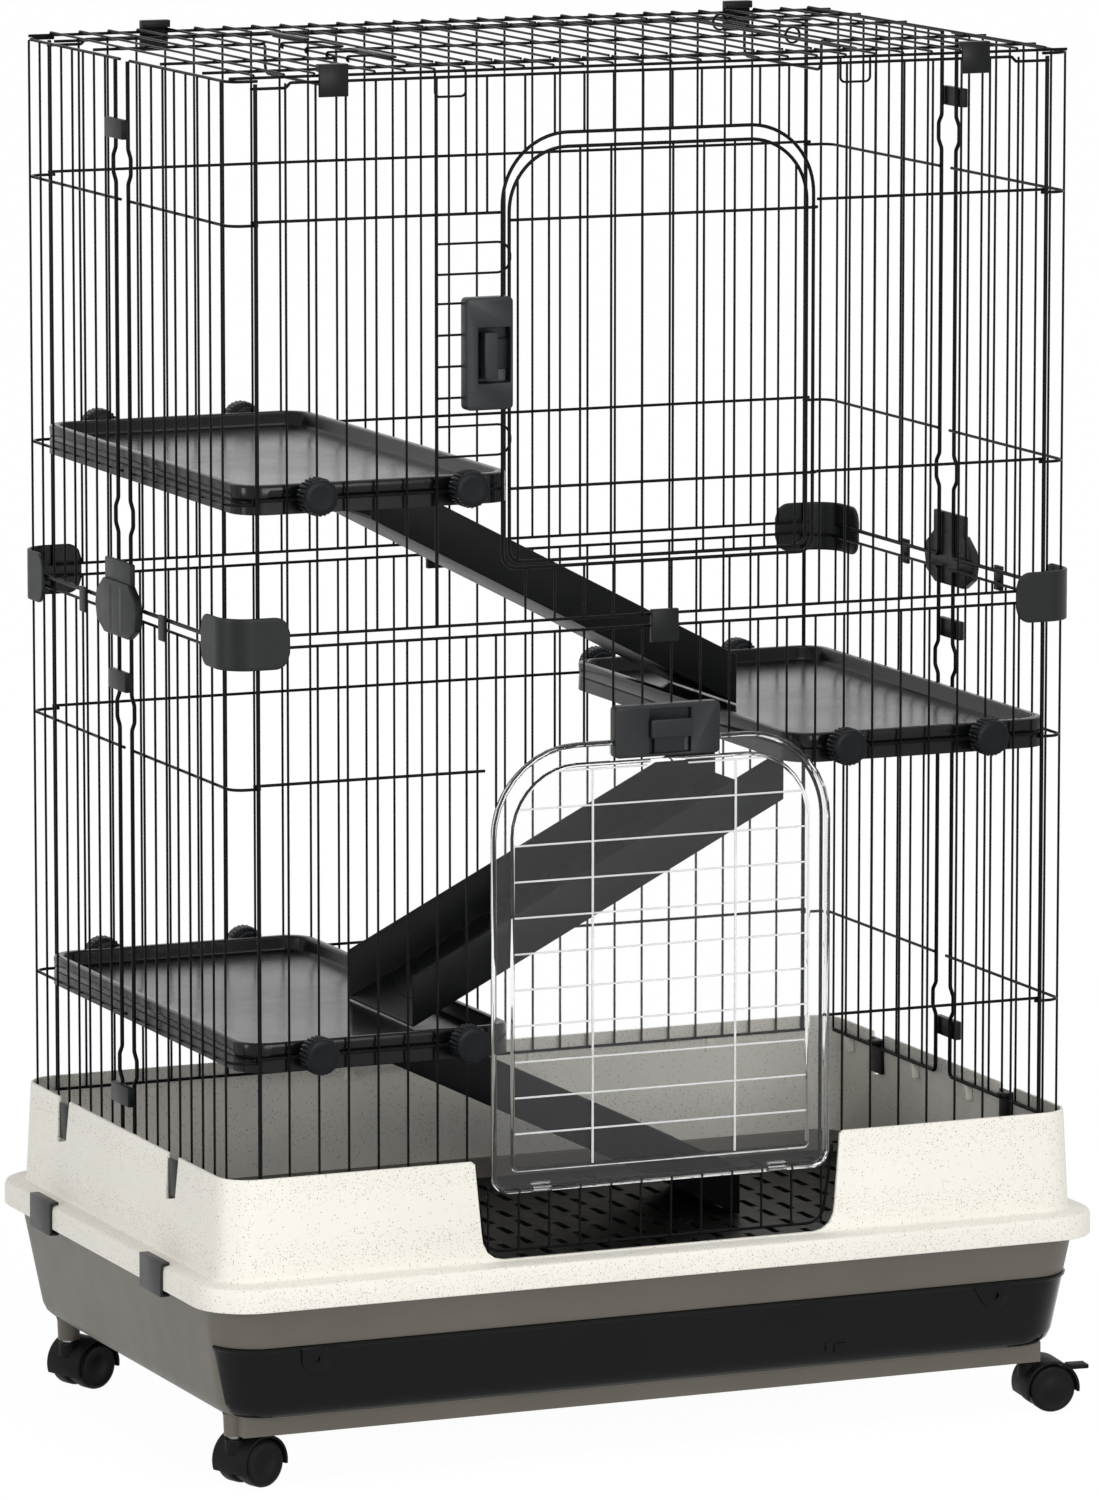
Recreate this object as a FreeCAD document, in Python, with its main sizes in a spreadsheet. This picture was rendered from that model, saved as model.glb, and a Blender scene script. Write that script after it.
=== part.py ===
import FreeCAD, Part
import math
import os
import Sketcher

from FreeCAD import Placement, Rotation, Vector

# A tall wire cage for small animals: two tiers of wire panels on a splash guard, a tub with a
# pull-out drawer and four twin-wheel castors. Inside hang three platforms joined by ramps.
# Millimetres. Origin at the middle of the footprint on the ground, +Z up, front towards -Y.

SIZES = {
    # wire gauges and the play between welded or clipped wires
    "bar_gauge": 2.0,
    "rail_gauge": 2.5,
    "loop_gauge": 2.9,
    "post_gauge": 3.4,
    "weld_play": 0.02,
    "seat_play": 0.3,
    "running_play": 0.05,
    # plan of the wire body: rail planes, corner posts, seam between half panels
    "rail_plane_y": 232.1,
    "rail_plane_x": 369.05,
    "post_x": 347.8,
    "corner_bend": 12.0,
    "rail_overshoot": 3.0,
    "seam_y": 14.0,
    "side_last_y": 220.4,
    # levels of the horizontal wires
    "roof_seat_z": 1143.0,
    "top_rail_z": 1141.0,
    "rail_step_drop": 4.0,
    "rail_step_run": 27.0,
    "high_rail_z": 1031.2,
    "shelf_rail_z": 808.6,
    "tier_foot_z": 699.6,
    "tier_head_z": 689.9,
    "mid_rail_z": 579.6,
    "low_rail_z": 357.2,
    "foot_rail_z": 250.0,
    # spread of the seam wires beside each seam clip
    "kink_spread": 6.0,
    "kink_height": 28.0,
    "kink_bend": 5.0,
    "high_kink_z": 1057.5,
    "shelf_kink_z": 770.0,
    "mid_kink_z": 609.0,
    "low_kink_z": 313.5,
    # upper doorway, its door and the wires beside the latch
    "gate_half": 137.0,
    "gate_foot_z": 744.0,
    "gate_head_z": 1094.0,
    "gate_head_bend": 57.0,
    "gate_foot_bend": 12.0,
    "door_gap": 6.0,
    "door_foot_gap": 5.0,
    "door_head_gap": 11.5,
    "door_head_bend": 51.0,
    "door_foot_bend": 10.0,
    "door_high_bar_z": 1025.4,
    "door_low_bar_z": 809.0,
    "door_end_bar_x": 122.5,
    "hinge_bar_x": 144.6,
    "stub_bar_x": 149.0,
    "stop_reach": 8.0,
    "stop_bend": 11.5,
    "stop_high_z": 1007.9,
    "stop_low_z": 861.0,
    "stop_drop": 24.5,
    "rung_first_z": 959.9,
    "rung_step": 25.3,
    # upper latch: housing with a recess, sliding bolt with its knob
    "latch_left_x": 174.0,
    "latch_right_x": 133.4,
    "latch_foot_z": 874.9,
    "latch_head_z": 965.4,
    "latch_depth": 12.5,
    "latch_wall": 2.4,
    "latch_edge": 4.0,
    "latch_recess_foot_z": 896.5,
    "latch_recess_head_z": 941.0,
    "latch_recess_inset": 10.5,
    "bolt_reach": 12.0,
    "bolt_thick": 3.2,
    "bolt_foot_z": 906.7,
    "bolt_head_z": 931.4,
    "bolt_knob_width": 13.0,
    "bolt_knob_proud": 4.0,
    # lower doorway: hinge wire, arch and the mesh under the door
    "arch_half": 146.0,
    "arch_head_z": 596.0,
    "arch_bend": 71.0,
    "low_rail_stop_x": 150.6,
    "hinge_wire_z": 236.5,
    "hinge_wire_half": 149.0,
    "mesh_head_half": 160.0,
    "mesh_foot_half": 153.0,
    "mesh_shoulder_z": 200.0,
    "mesh_foot_z": 183.5,
    "mesh_bend": 16.0,
    # clear door
    "pane_half": 150.0,
    "pane_foot_z": 233.0,
    "pane_head_z": 600.0,
    "pane_head_bend": 75.0,
    "pane_foot_bend": 14.0,
    "pane_thick": 2.4,
    "pane_depth": 7.0,
    "pane_rim": 18.0,
    "pane_rib": 2.4,
    "pane_notch_half": 48.6,
    "pane_notch_drop": 17.5,
    "pane_hook_x": 105.0,
    "pane_hook_width": 16.0,
    "pane_hook_wall": 2.0,
    # lower latch
    "catch_half": 46.5,
    "catch_shift": 3.2,
    "catch_foot_z": 585.0,
    "catch_head_z": 627.7,
    "catch_depth": 11.0,
    "catch_recess_half": 18.5,
    "catch_recess_drop": 4.0,
    "catch_bolt_half": 13.5,
    "catch_bolt_shift": 5.5,
    "catch_bolt_head_z": 606.0,
    "catch_bolt_reach": 9.5,
    "catch_knob_height": 15.0,
    # splash guard
    "guard_half_x": 378.4,
    "guard_half_y": 240.5,
    "guard_head_z": 261.0,
    "guard_foot_half_x": 383.0,
    "guard_foot_half_y": 244.0,
    "guard_wall": 2.8,
    "guard_corner": 27.0,
    "flange_half_x": 400.0,
    "flange_half_y": 264.0,
    "flange_top_z": 177.0,
    "flange_foot_z": 156.2,
    "flange_corner": 46.0,
    "cut_head_half": 163.0,
    "cut_foot_half": 157.0,
    "cut_foot_z": 178.5,
    "cut_bend": 20.0,
    "slot_front_y": -117.5,
    "slot_rear_y": 138.0,
    "slot_width": 24.0,
    "slot_foot_z": 222.0,
    # tub, drawer, floor grid
    "tub_half_x": 388.5,
    "tub_half_y": 249.0,
    "tub_head_z": 158.0,
    "tub_foot_half_x": 372.0,
    "tub_foot_half_y": 238.0,
    "tub_foot_z": 59.0,
    "tub_foot_bend": 15.0,
    "tub_corner": 40.0,
    "tub_wall": 2.6,
    "tub_floor": 3.0,
    "tub_rim_out": 7.5,
    "tub_ledge": 12.0,
    "tub_rail_foot_z": 45.0,
    "tub_rail_front_y": 222.0,
    "tub_rail_depth": 24.0,
    "tub_rail_half_x": 358.0,
    "drawer_foot_z": 62.6,
    "drawer_head_z": 122.5,
    "drawer_front_y": 214.0,
    "drawer_half_x": 340.0,
    "drawer_back_y": 205.0,
    "drawer_wall": 2.4,
    "drawer_wall_z": 115.0,
    "drawer_corner": 8.0,
    "pull_x": 304.0,
    "pull_width": 30.0,
    "pull_head_z": 119.0,
    "pull_foot_z": 99.0,
    "pull_proud": 3.0,
    "pull_hole": 7.0,
    "floor_z": 142.0,
    "floor_thick": 3.0,
    "floor_half_x": 376.0,
    "floor_half_y": 231.0,
    "floor_corner": 34.0,
    "floor_slot_width": 7.0,
    "floor_slot_length": 28.0,
    "floor_slot_pitch_x": 26.0,
    "floor_slot_pitch_y": 42.0,
    # castors
    "castor_x": 357.0,
    "castor_front_y": 200.0,
    "castor_rear_y": 188.0,
    "wheel_size": 40.0,
    "wheel_width": 15.5,
    "wheel_span": 40.0,
    "axle_size": 6.0,
    "castor_trail": 16.0,
    "hood_size": 47.0,
    "hood_wall": 2.0,
    "hood_stem_side_z": 12.0,
    "hood_far_side_z": 17.0,
    "hood_web": 7.0,
    "hood_web_size": 35.0,
    "collar_size": 17.0,
    "collar_head_z": 40.0,
    "collar_foot_z": 29.0,
    "stem_size": 11.0,
    "stem_pin_size": 8.0,
    "socket_size": 18.0,
    "socket_foot_z": 43.0,
    "lever_length": 17.0,
    "lever_width": 15.0,
    "lever_thick": 3.6,
    "lever_lift": 1.5,
    "lever_gap": 0.9,
    # platforms and their hand screws
    "tray_width": 237.0,
    "tray_outer_x": 360.0,
    "tray_height": 24.0,
    "tray_recess": 12.0,
    "tray_wall": 2.5,
    "tray_rim": 8.0,
    "tray_corner": 25.0,
    "tray_head_above_rail": 12.4,
    "knob_size": 31.0,
    "knob_length": 23.0,
    "knob_groove": 3.0,
    "screw_size": 4.0,
    # ramps
    "ramp_width": 140.0,
    "ramp_wall": 2.6,
    "ramp_side": 42.0,
    "ramp_tuck": 27.0,
    "ramp_run": 305.0,
    "upper_ramp_y": 80.0,
    "lower_ramp_y": -85.0,
    "floor_ramp_y": 70.0,
    # roof
    "roof_edge_y": 230.0,
    "roof_rear_y": 168.0,
    "roof_rear_cut_y": 76.0,
    "roof_front_cut_y": -78.0,
    "roof_front_y": -172.0,
    "roof_half_x": 368.0,
    "roof_cut_x": 217.0,
    "roof_end_drop": 2.0,
    "roof_end_bend": 1.6,
    "side_loop_drop": 24.0,
    "side_loop_bend": 8.0,
    "pull_loop_drop": 18.0,
    "pull_loop_width": 26.5,
    "pull_loop_x": 178.0,
    "hatch_left_x": -180.0,
    "hatch_right_x": 212.0,
    "hatch_front_y": -165.0,
    "hatch_rear_y": 161.0,
    "hatch_bend": 12.0,
    "sleeve_width": 6.0,
    "sleeve_thick": 2.0,
    "sleeve_length": 86.0,
    "sleeve_rear_y": 120.0,
    "sleeve_front_y": -70.0,
    "ring_radius": 6.4,
    "ring_gauge": 1.6,
    "ring_rear_y": 122.0,
    "ring_front_y": -25.0,
    "rear_catch_y": 3.0,
    "rear_catch_width": 54.0,
    "rear_catch_reach": 33.0,
    "front_catch_y": -92.0,
    "front_catch_width": 44.0,
    "front_catch_reach": 24.0,
    "catch_bend": 7.0,
    # clips
    "clip_wall": 3.0,
    "corner_clip_height": 42.0,
    "corner_clip_bend": 25.0,
    "corner_clip_front": 53.0,
    "corner_clip_side": 60.0,
    "joint_plate_width": 95.0,
    "joint_plate_height": 45.0,
    "joint_plate_thick": 7.0,
    "joint_collar_width": 60.0,
    "joint_collar_height": 17.0,
    "seam_clip_length": 40.0,
    "seam_clip_height": 16.0,
    "seam_clip_thick": 6.0,
    "seam_clip_high_z": 1088.0,
    "seam_clip_mid_z": 635.0,
    "seam_clip_low_z": 290.0,
    "rail_clip_width": 24.0,
    "rail_clip_foot_z": 677.0,
    "rail_clip_head_z": 704.0,
    "rail_clip_x": 5.0,
    "rail_clip_thick": 5.0,
    "side_hook_rear_y": 88.0,
    "side_hook_front_y": -95.0,
    "side_hook_width": 14.0,
    "roof_clip_width": 25.0,
    "roof_clip_x": 282.0,
    "roof_clip_back_left_x": -254.0,
    "roof_clip_head_z": 1155.0,
    "roof_clip_foot_z": 1129.0,
    "hold_clip_width": 22.0,
    "hold_hook_width": 9.0,
    "hold_hook_front_y": -123.8,
    "hold_hook_rear_y": 134.0,
    "hold_clip_foot_z": 226.0,
    "hold_clip_thick": 4.0,
    "flange_clip_front_y": -127.0,
    "flange_clip_rear_y": 133.0,
    "flange_clip_width": 48.0,
    "flange_clip_foot_z": 151.0,
    "flange_clip_thick": 2.5,
    "flange_clip_tongue": 12.0,
}

# Counts, shares and angles. A bar place counts bar pitches from the left corner post.
BAR_GAPS = 27
SIDE_BARS = 8
DOOR_BARS = 10
MESH_BARS = 12
LATCH_SIDE_BARS = range(6, 9)
KNOB_GROOVES = 24
KNOB_GROOVE_SHARE = 0.8
LEVER_DEGREES = 40
REAR_CATCH_DEGREES = 5
FRONT_CATCH_DEGREES = 75
LATCH_RUNGS = 4
HATCH_BARS = range(7, 22)
LEFT_KNOB_BAR_SHARES = ((1.79, 6.86), (1.82, 6.84))
RIGHT_KNOB_BAR_SHARES = ((19.85, 24.85), (19.63, 24.8))

doc = FreeCAD.newDocument("small_animal_cage")
sheet = doc.addObject("Spreadsheet::Sheet", "Sizes")
for number, (alias, value) in enumerate(SIZES.items(), start=1):
    sheet.set("A%d" % number, alias)
    sheet.set("B%d" % number, str(value))
    sheet.setAlias("B%d" % number, alias)
doc.recompute()

parts = []


class SheetSizes:
    """Gives each driving dimension by its alias, read back from the sheet."""

    def __getattr__(self, alias):
        return float(sheet.get(alias))


S = SheetSizes()


# Wires and solids

def bar(start, end, gauge):
    """A straight round wire from one point to another."""
    return Part.makeCylinder(gauge / 2, (end - start).Length, start, end - start)


def bent_path(points, bend, closed=False):
    """Straight runs through the points, joined by tangent arcs of one radius."""
    count = len(points)
    turns = range(count) if closed else range(1, count - 1)
    corners = {}
    for index in turns:
        here = points[index]
        back = (points[index - 1] - here).normalize()
        ahead = (points[(index + 1) % count] - here).normalize()
        angle = math.pi - back.getAngle(ahead)
        if angle < math.radians(1):
            continue
        trim = bend * math.tan(angle / 2)
        middle = (back + ahead).normalize() * (bend / math.cos(angle / 2) - bend)
        corners[index] = (here + back * trim, here + middle, here + ahead * trim)
    edges = []
    last = count if closed else count - 1
    for index in range(last):
        following = (index + 1) % count
        start = corners[index][2] if index in corners else points[index]
        end = corners[following][0] if following in corners else points[following]
        edges.append(Part.LineSegment(start, end).toShape())
        if following in corners and (closed or following < count - 1):
            edges.append(Part.Arc(*corners[following]).toShape())
    return edges


def bent_wire(points, bend, gauge, closed=False):
    """A round wire swept along straight runs and tangent bends."""
    if closed:
        middle = (points[0] + points[-1]) / 2
        points = [middle] + points + [middle]
        edges = bent_path(points, bend)
    else:
        edges = bent_path(points, bend)
    first = edges[0]
    direction = first.tangentAt(first.FirstParameter)
    ring = Part.Wire(Part.makeCircle(gauge / 2, first.valueAt(first.FirstParameter), direction))
    solid = Part.Wire(edges).makePipeShell([ring], True, False)
    return Part.Solid(solid) if solid.ShapeType == "Shell" else solid


def box(low_x, high_x, low_y, high_y, low_z, high_z):
    """An upright box between three pairs of limits, given in either order."""
    corner = Vector(min(low_x, high_x), min(low_y, high_y), min(low_z, high_z))
    return Part.makeBox(abs(high_x - low_x), abs(high_y - low_y), abs(high_z - low_z), corner)


def rounded_outline(low_x, high_x, low_y, high_y, corner, z):
    """A level rectangle with four round corners, as one closed wire."""
    points = [Vector(low_x, low_y, z), Vector(high_x, low_y, z),
              Vector(high_x, high_y, z), Vector(low_x, high_y, z)]
    return Part.Wire(bent_path(points, corner, closed=True))


def rounded_block(low_x, high_x, low_y, high_y, corner, low_z, high_z):
    """An upright block on a rounded rectangle."""
    face = Part.Face(rounded_outline(low_x, high_x, low_y, high_y, corner, low_z))
    return face.extrude(Vector(0, 0, high_z - low_z))


def tapered_block(foot, head):
    """A block between two centred rounded rectangles, each (half x, half y, corner, z)."""
    outlines = [rounded_outline(-half_x, half_x, -half_y, half_y, corner, z)
                for half_x, half_y, corner, z in (foot, head)]
    return Part.makeLoft(outlines, True, True)


def front_block(points, bend, front_y, back_y):
    """A plate parallel to the front: a closed outline of (x, z) points with round corners."""
    outline = [Vector(x, front_y, z) for x, z in points]
    face = Part.Face(Part.Wire(bent_path(outline, bend, closed=True)))
    return face.extrude(Vector(0, back_y - front_y, 0))


def side_block(points, low_y, high_y):
    """A prism across the cage on a closed outline of (x, z) points."""
    outline = [Vector(x, low_y, z) for x, z in points]
    face = Part.Face(Part.makePolygon(outline + outline[:1]))
    return face.extrude(Vector(0, high_y - low_y, 0))


def turned(shape, centre, axis, degrees):
    """A copy of a shape turned about an axis."""
    copy = shape.copy()
    copy.rotate(centre, axis, degrees)
    return copy


def mirrored_x(shape):
    """A copy of a shape on the other side of the middle plane."""
    return shape.mirror(Vector(0, 0, 0), Vector(1, 0, 0))


def add_part(label, shapes, placement=Placement()):
    """Keeps one sub-part, made of one or more separate solids, under its own label."""
    feature = doc.addObject("Part::Feature", label)
    feature.Shape = Part.makeCompound(shapes) if len(shapes) > 1 else shapes[0]
    feature.Placement = placement
    feature.Label = label
    parts.append(feature)
    return feature


# Places shared by the wire panels

PITCH = 2 * S.post_x / BAR_GAPS
BAR_Y = S.rail_plane_y + (S.rail_gauge + S.bar_gauge) / 2 + S.weld_play
POST_Y = S.rail_plane_y + (S.rail_gauge + S.post_gauge) / 2 + S.weld_play
LOOP_Y = BAR_Y + (S.bar_gauge + S.loop_gauge) / 2 + S.weld_play
BAR_X = S.rail_plane_x + (S.rail_gauge + S.bar_gauge) / 2 + S.weld_play
SEAM_X = S.rail_plane_x + (S.rail_gauge + S.post_gauge) / 2 + S.weld_play
HOOP_DROP = S.rail_gauge + S.weld_play
RAIL_END_X = S.post_x + S.rail_overshoot


def bar_place(count):
    """Where a bar stands along the front, in pitches from the left corner post."""
    return count * PITCH - S.post_x


def arch_height(x, half, head_z, bend):
    """Height of an arch with straight sides, round shoulders and a flat top."""
    past = abs(x) - (half - bend)
    if past <= 0:
        return head_z
    return head_z - bend + math.sqrt(max(bend * bend - past * past, 0))


def rail(low_x, high_x, y, z):
    """A level wire along the front or back."""
    return bar(Vector(low_x, y, z), Vector(high_x, y, z), S.rail_gauge)


def stepped_rail(y, z):
    """A top rail of the front or back: it steps down just before each corner post."""
    low_z = z - S.rail_step_drop
    step_x = S.post_x - S.rail_step_run
    inner_x = step_x - S.rail_step_drop
    points = [Vector(-RAIL_END_X, y, low_z), Vector(-step_x, y, low_z), Vector(-inner_x, y, z),
              Vector(inner_x, y, z), Vector(step_x, y, low_z), Vector(RAIL_END_X, y, low_z)]
    return bent_wire(points, S.rail_gauge, S.rail_gauge)


def upright(x, y, low_z, high_z, gauge):
    """A vertical wire."""
    return bar(Vector(x, y, low_z), Vector(x, y, high_z), gauge)


def posts(side, low_z, high_z):
    """The two corner posts of a front (-1) or back (1) panel."""
    return [upright(x, side * POST_Y, low_z, high_z, S.post_gauge) for x in (-S.post_x, S.post_x)]


# Upper front panel: bars, rails and the rungs beside the latch

def front_panel_upper():
    y = -S.rail_plane_y
    foot = S.tier_foot_z
    head = S.top_rail_z
    wires = posts(-1, foot, head)
    wires.append(stepped_rail(y, head))
    wires.append(rail(-RAIL_END_X, RAIL_END_X, y, foot))
    for z in (S.high_rail_z, S.shelf_rail_z):
        wires.append(rail(-RAIL_END_X, -S.gate_half, y, z))
        wires.append(rail(S.hinge_bar_x - S.bar_gauge, RAIL_END_X, y, z))
    thick, short, stub = LATCH_SIDE_BARS
    thick_y = -(S.rail_plane_y + (S.rail_gauge + S.loop_gauge) / 2 + S.weld_play)
    for count in range(1, BAR_GAPS):
        x = bar_place(count)
        if count == thick:
            wires.append(upright(x, thick_y, foot, head, S.loop_gauge))
        elif count == short:
            wires.append(upright(x, -BAR_Y, S.high_rail_z, head, S.bar_gauge))
        elif count == stub:
            wires.append(upright(-S.stub_bar_x, -BAR_Y, S.high_rail_z, head, S.bar_gauge))
        elif abs(x) < S.gate_half:
            arch = arch_height(x, S.gate_half, S.gate_head_z, S.gate_head_bend)
            wires.append(upright(x, -BAR_Y, arch, head, S.bar_gauge))
            wires.append(upright(x, -BAR_Y, foot, S.gate_foot_z, S.bar_gauge))
        elif abs(x) < S.hinge_bar_x:
            wires.append(upright(S.hinge_bar_x, -BAR_Y, foot, head, S.bar_gauge))
        else:
            wires.append(upright(x, -BAR_Y, foot, head, S.bar_gauge))
    start_x = bar_place(thick) + S.loop_gauge / 2 + S.weld_play
    stop_x = -S.gate_half + S.stop_reach
    for z in (S.stop_high_z, S.stop_low_z):
        low_z = z - S.stop_drop
        points = [Vector(start_x, -BAR_Y, z), Vector(stop_x, -BAR_Y, z),
                  Vector(stop_x, -BAR_Y, low_z), Vector(start_x, -BAR_Y, low_z)]
        wires.append(bent_wire(points, S.stop_bend, S.bar_gauge))
    for rung in range(LATCH_RUNGS):
        z = S.rung_first_z - rung * S.rung_step
        wires.append(bar(Vector(start_x, -BAR_Y, z), Vector(-S.gate_half, -BAR_Y, z), S.bar_gauge))
    return wires


def gate_loop():
    """The closed wire round the upper doorway."""
    half = S.gate_half
    return arched_loop(half, S.gate_foot_z, S.gate_head_z, S.gate_foot_bend, S.gate_head_bend)


def arched_loop(half, foot_z, head_z, foot_bend, head_bend):
    """A closed wire loop with large bends at the top and small ones at the foot."""
    middle_z = (foot_z + head_z) / 2
    top = [Vector(-half, -LOOP_Y, middle_z), Vector(-half, -LOOP_Y, head_z),
           Vector(half, -LOOP_Y, head_z), Vector(half, -LOOP_Y, middle_z)]
    foot = [Vector(half, -LOOP_Y, middle_z), Vector(half, -LOOP_Y, foot_z),
            Vector(-half, -LOOP_Y, foot_z), Vector(-half, -LOOP_Y, middle_z)]
    edges = bent_path(top, head_bend) + bent_path(foot, foot_bend)
    ring = Part.Wire(Part.makeCircle(S.loop_gauge / 2, top[0], Vector(0, 0, 1)))
    return Part.Wire(edges).makePipeShell([ring], True, False)


def upper_door():
    """The wire door: a closed loop, its bars and two cross wires hooked round the doorway's side."""
    half = S.gate_half - S.door_gap
    foot_z = S.gate_foot_z + S.door_foot_gap
    head_z = S.gate_head_z - S.door_head_gap
    wires = [arched_loop(half, foot_z, head_z, S.door_foot_bend, S.door_head_bend)]
    bar_step = 2 * S.door_end_bar_x / (DOOR_BARS - 1)
    for number in range(DOOR_BARS):
        x = number * bar_step - S.door_end_bar_x
        wires.append(upright(x, -BAR_Y, foot_z, arch_height(x, half, head_z, S.door_head_bend),
                             S.bar_gauge))
    hook = (S.loop_gauge + S.rail_gauge) / 2 + S.running_play
    hinge = Vector(S.gate_half, -LOOP_Y, 0)
    for z in (S.door_high_bar_z, S.door_low_bar_z):
        centre = Vector(S.gate_half, -LOOP_Y, z)
        run = Part.LineSegment(Vector(-half, -LOOP_Y - hook, z), centre + Vector(0, -hook, 0))
        curl = Part.Arc(centre + Vector(0, -hook, 0), centre + Vector(hook, 0, 0),
                        centre + Vector(0, hook, 0))
        path = Part.Wire([run.toShape(), curl.toShape()])
        ring = Part.Wire(Part.makeCircle(S.rail_gauge / 2, run.StartPoint, Vector(1, 0, 0)))
        wires.append(path.makePipeShell([ring], True, False))
    return wires


# Upper latch

LATCH_BACK_Y = -(LOOP_Y + S.loop_gauge / 2 + S.seat_play)
LATCH_FRONT_Y = LATCH_BACK_Y - S.latch_depth


def upper_latch_housing():
    """A moulded box over the rungs, open at the front round the knob and at the side for the bolt."""
    points = [(-S.latch_left_x, S.latch_foot_z), (-S.latch_right_x, S.latch_foot_z),
              (-S.latch_right_x, S.latch_head_z), (-S.latch_left_x, S.latch_head_z)]
    block = front_block(points, S.latch_edge, LATCH_FRONT_Y, LATCH_BACK_Y)
    window = box(-S.latch_left_x + S.latch_recess_inset, -S.latch_right_x - S.latch_wall,
                 LATCH_FRONT_Y - S.latch_wall, LATCH_BACK_Y - S.latch_wall,
                 S.latch_recess_foot_z, S.latch_recess_head_z)
    bay_back = LATCH_BACK_Y - S.latch_wall
    bay = box(-S.latch_left_x + S.latch_recess_inset, -S.latch_right_x + S.latch_wall,
              bay_back, bay_back - S.bolt_thick - 2 * S.seat_play,
              S.bolt_foot_z - S.seat_play, S.bolt_head_z + S.seat_play)
    return block.cut(window).cut(bay)


def upper_latch_bolt():
    """The sliding bolt, drawn back level with the housing's side, and its knob."""
    back = LATCH_BACK_Y - S.latch_wall - S.seat_play
    front = back - S.bolt_thick
    tip = -S.latch_right_x
    tail = tip - 2 * S.bolt_knob_width
    tongue = box(tail, tip, back, front, S.bolt_foot_z, S.bolt_head_z)
    knob_low = tip - S.bolt_reach - S.latch_wall - S.bolt_knob_width
    inset = S.seat_play + S.bolt_thick
    knob = box(max(knob_low, tail), tip - S.bolt_reach - S.latch_wall - S.seat_play, front,
               LATCH_FRONT_Y - S.bolt_knob_proud,
               S.latch_recess_foot_z + inset, S.latch_recess_head_z - inset)
    edges = [edge for edge in knob.Edges if edge.BoundBox.YMax < front - S.weld_play]
    return tongue.fuse(knob.makeFillet(S.latch_wall / 2, edges)).removeSplitter()


# Lower front panel and the mesh in the guard's cut-out

def front_panel_lower():
    y = -S.rail_plane_y
    foot = S.foot_rail_z
    head = S.tier_head_z
    wires = posts(-1, foot, head)
    wires.append(rail(-RAIL_END_X, RAIL_END_X, y, head))
    for z in (S.mid_rail_z, S.low_rail_z):
        wires.append(rail(-RAIL_END_X, -S.low_rail_stop_x, y, z))
        wires.append(rail(S.low_rail_stop_x, RAIL_END_X, y, z))
    wires.append(rail(-RAIL_END_X, -S.mesh_head_half, y, foot))
    wires.append(rail(S.mesh_head_half, RAIL_END_X, y, foot))
    for count in range(1, BAR_GAPS):
        x = bar_place(count)
        low = foot
        if abs(x) < S.arch_half:
            low = arch_height(x, S.arch_half, S.arch_head_z, S.arch_bend)
        wires.append(upright(x, -BAR_Y, low, head, S.bar_gauge))
    return wires


def clean_out_mesh():
    """The dipped wire in the guard's cut-out with the short bars up to the hinge wire."""
    dip_head_z = S.foot_rail_z - S.rail_gauge / 2 - S.seat_play
    dip = [Vector(-S.mesh_head_half, -S.rail_plane_y, dip_head_z),
           Vector(-S.mesh_foot_half, -S.rail_plane_y, S.mesh_shoulder_z),
           Vector(-S.mesh_foot_half, -S.rail_plane_y, S.mesh_foot_z),
           Vector(S.mesh_foot_half, -S.rail_plane_y, S.mesh_foot_z),
           Vector(S.mesh_foot_half, -S.rail_plane_y, S.mesh_shoulder_z),
           Vector(S.mesh_head_half, -S.rail_plane_y, dip_head_z)]
    wires = [bent_wire(dip, S.mesh_bend, S.rail_gauge)]
    for number in range(MESH_BARS):
        x = S.hinge_wire_half * (2 * number / (MESH_BARS - 1) - 1)
        wires.append(upright(x, -BAR_Y, S.mesh_foot_z, S.hinge_wire_z, S.bar_gauge))
    return wires


def lower_door_frame():
    """The arched wire round the lower doorway, its legs down to the hinge wire."""
    points = [Vector(-S.arch_half, -LOOP_Y, S.hinge_wire_z - S.loop_gauge),
              Vector(-S.arch_half, -LOOP_Y, S.arch_head_z),
              Vector(S.arch_half, -LOOP_Y, S.arch_head_z),
              Vector(S.arch_half, -LOOP_Y, S.hinge_wire_z - S.loop_gauge)]
    return [bent_wire(points, S.arch_bend, S.loop_gauge)]


HINGE_WIRE_Y = LOOP_Y + S.loop_gauge + S.weld_play


def lower_hinge_wire():
    """The straight wire that carries the clear door's hooks."""
    return [bar(Vector(-S.hinge_wire_half, -HINGE_WIRE_Y, S.hinge_wire_z),
                Vector(S.hinge_wire_half, -HINGE_WIRE_Y, S.hinge_wire_z), S.loop_gauge)]


# Clear door: rim, ribs and hinge hooks in one moulding

PANE_BACK_Y = -(HINGE_WIRE_Y + S.loop_gauge / 2 + S.seat_play)
PANE_SKIN_Y = PANE_BACK_Y - S.pane_thick


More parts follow.
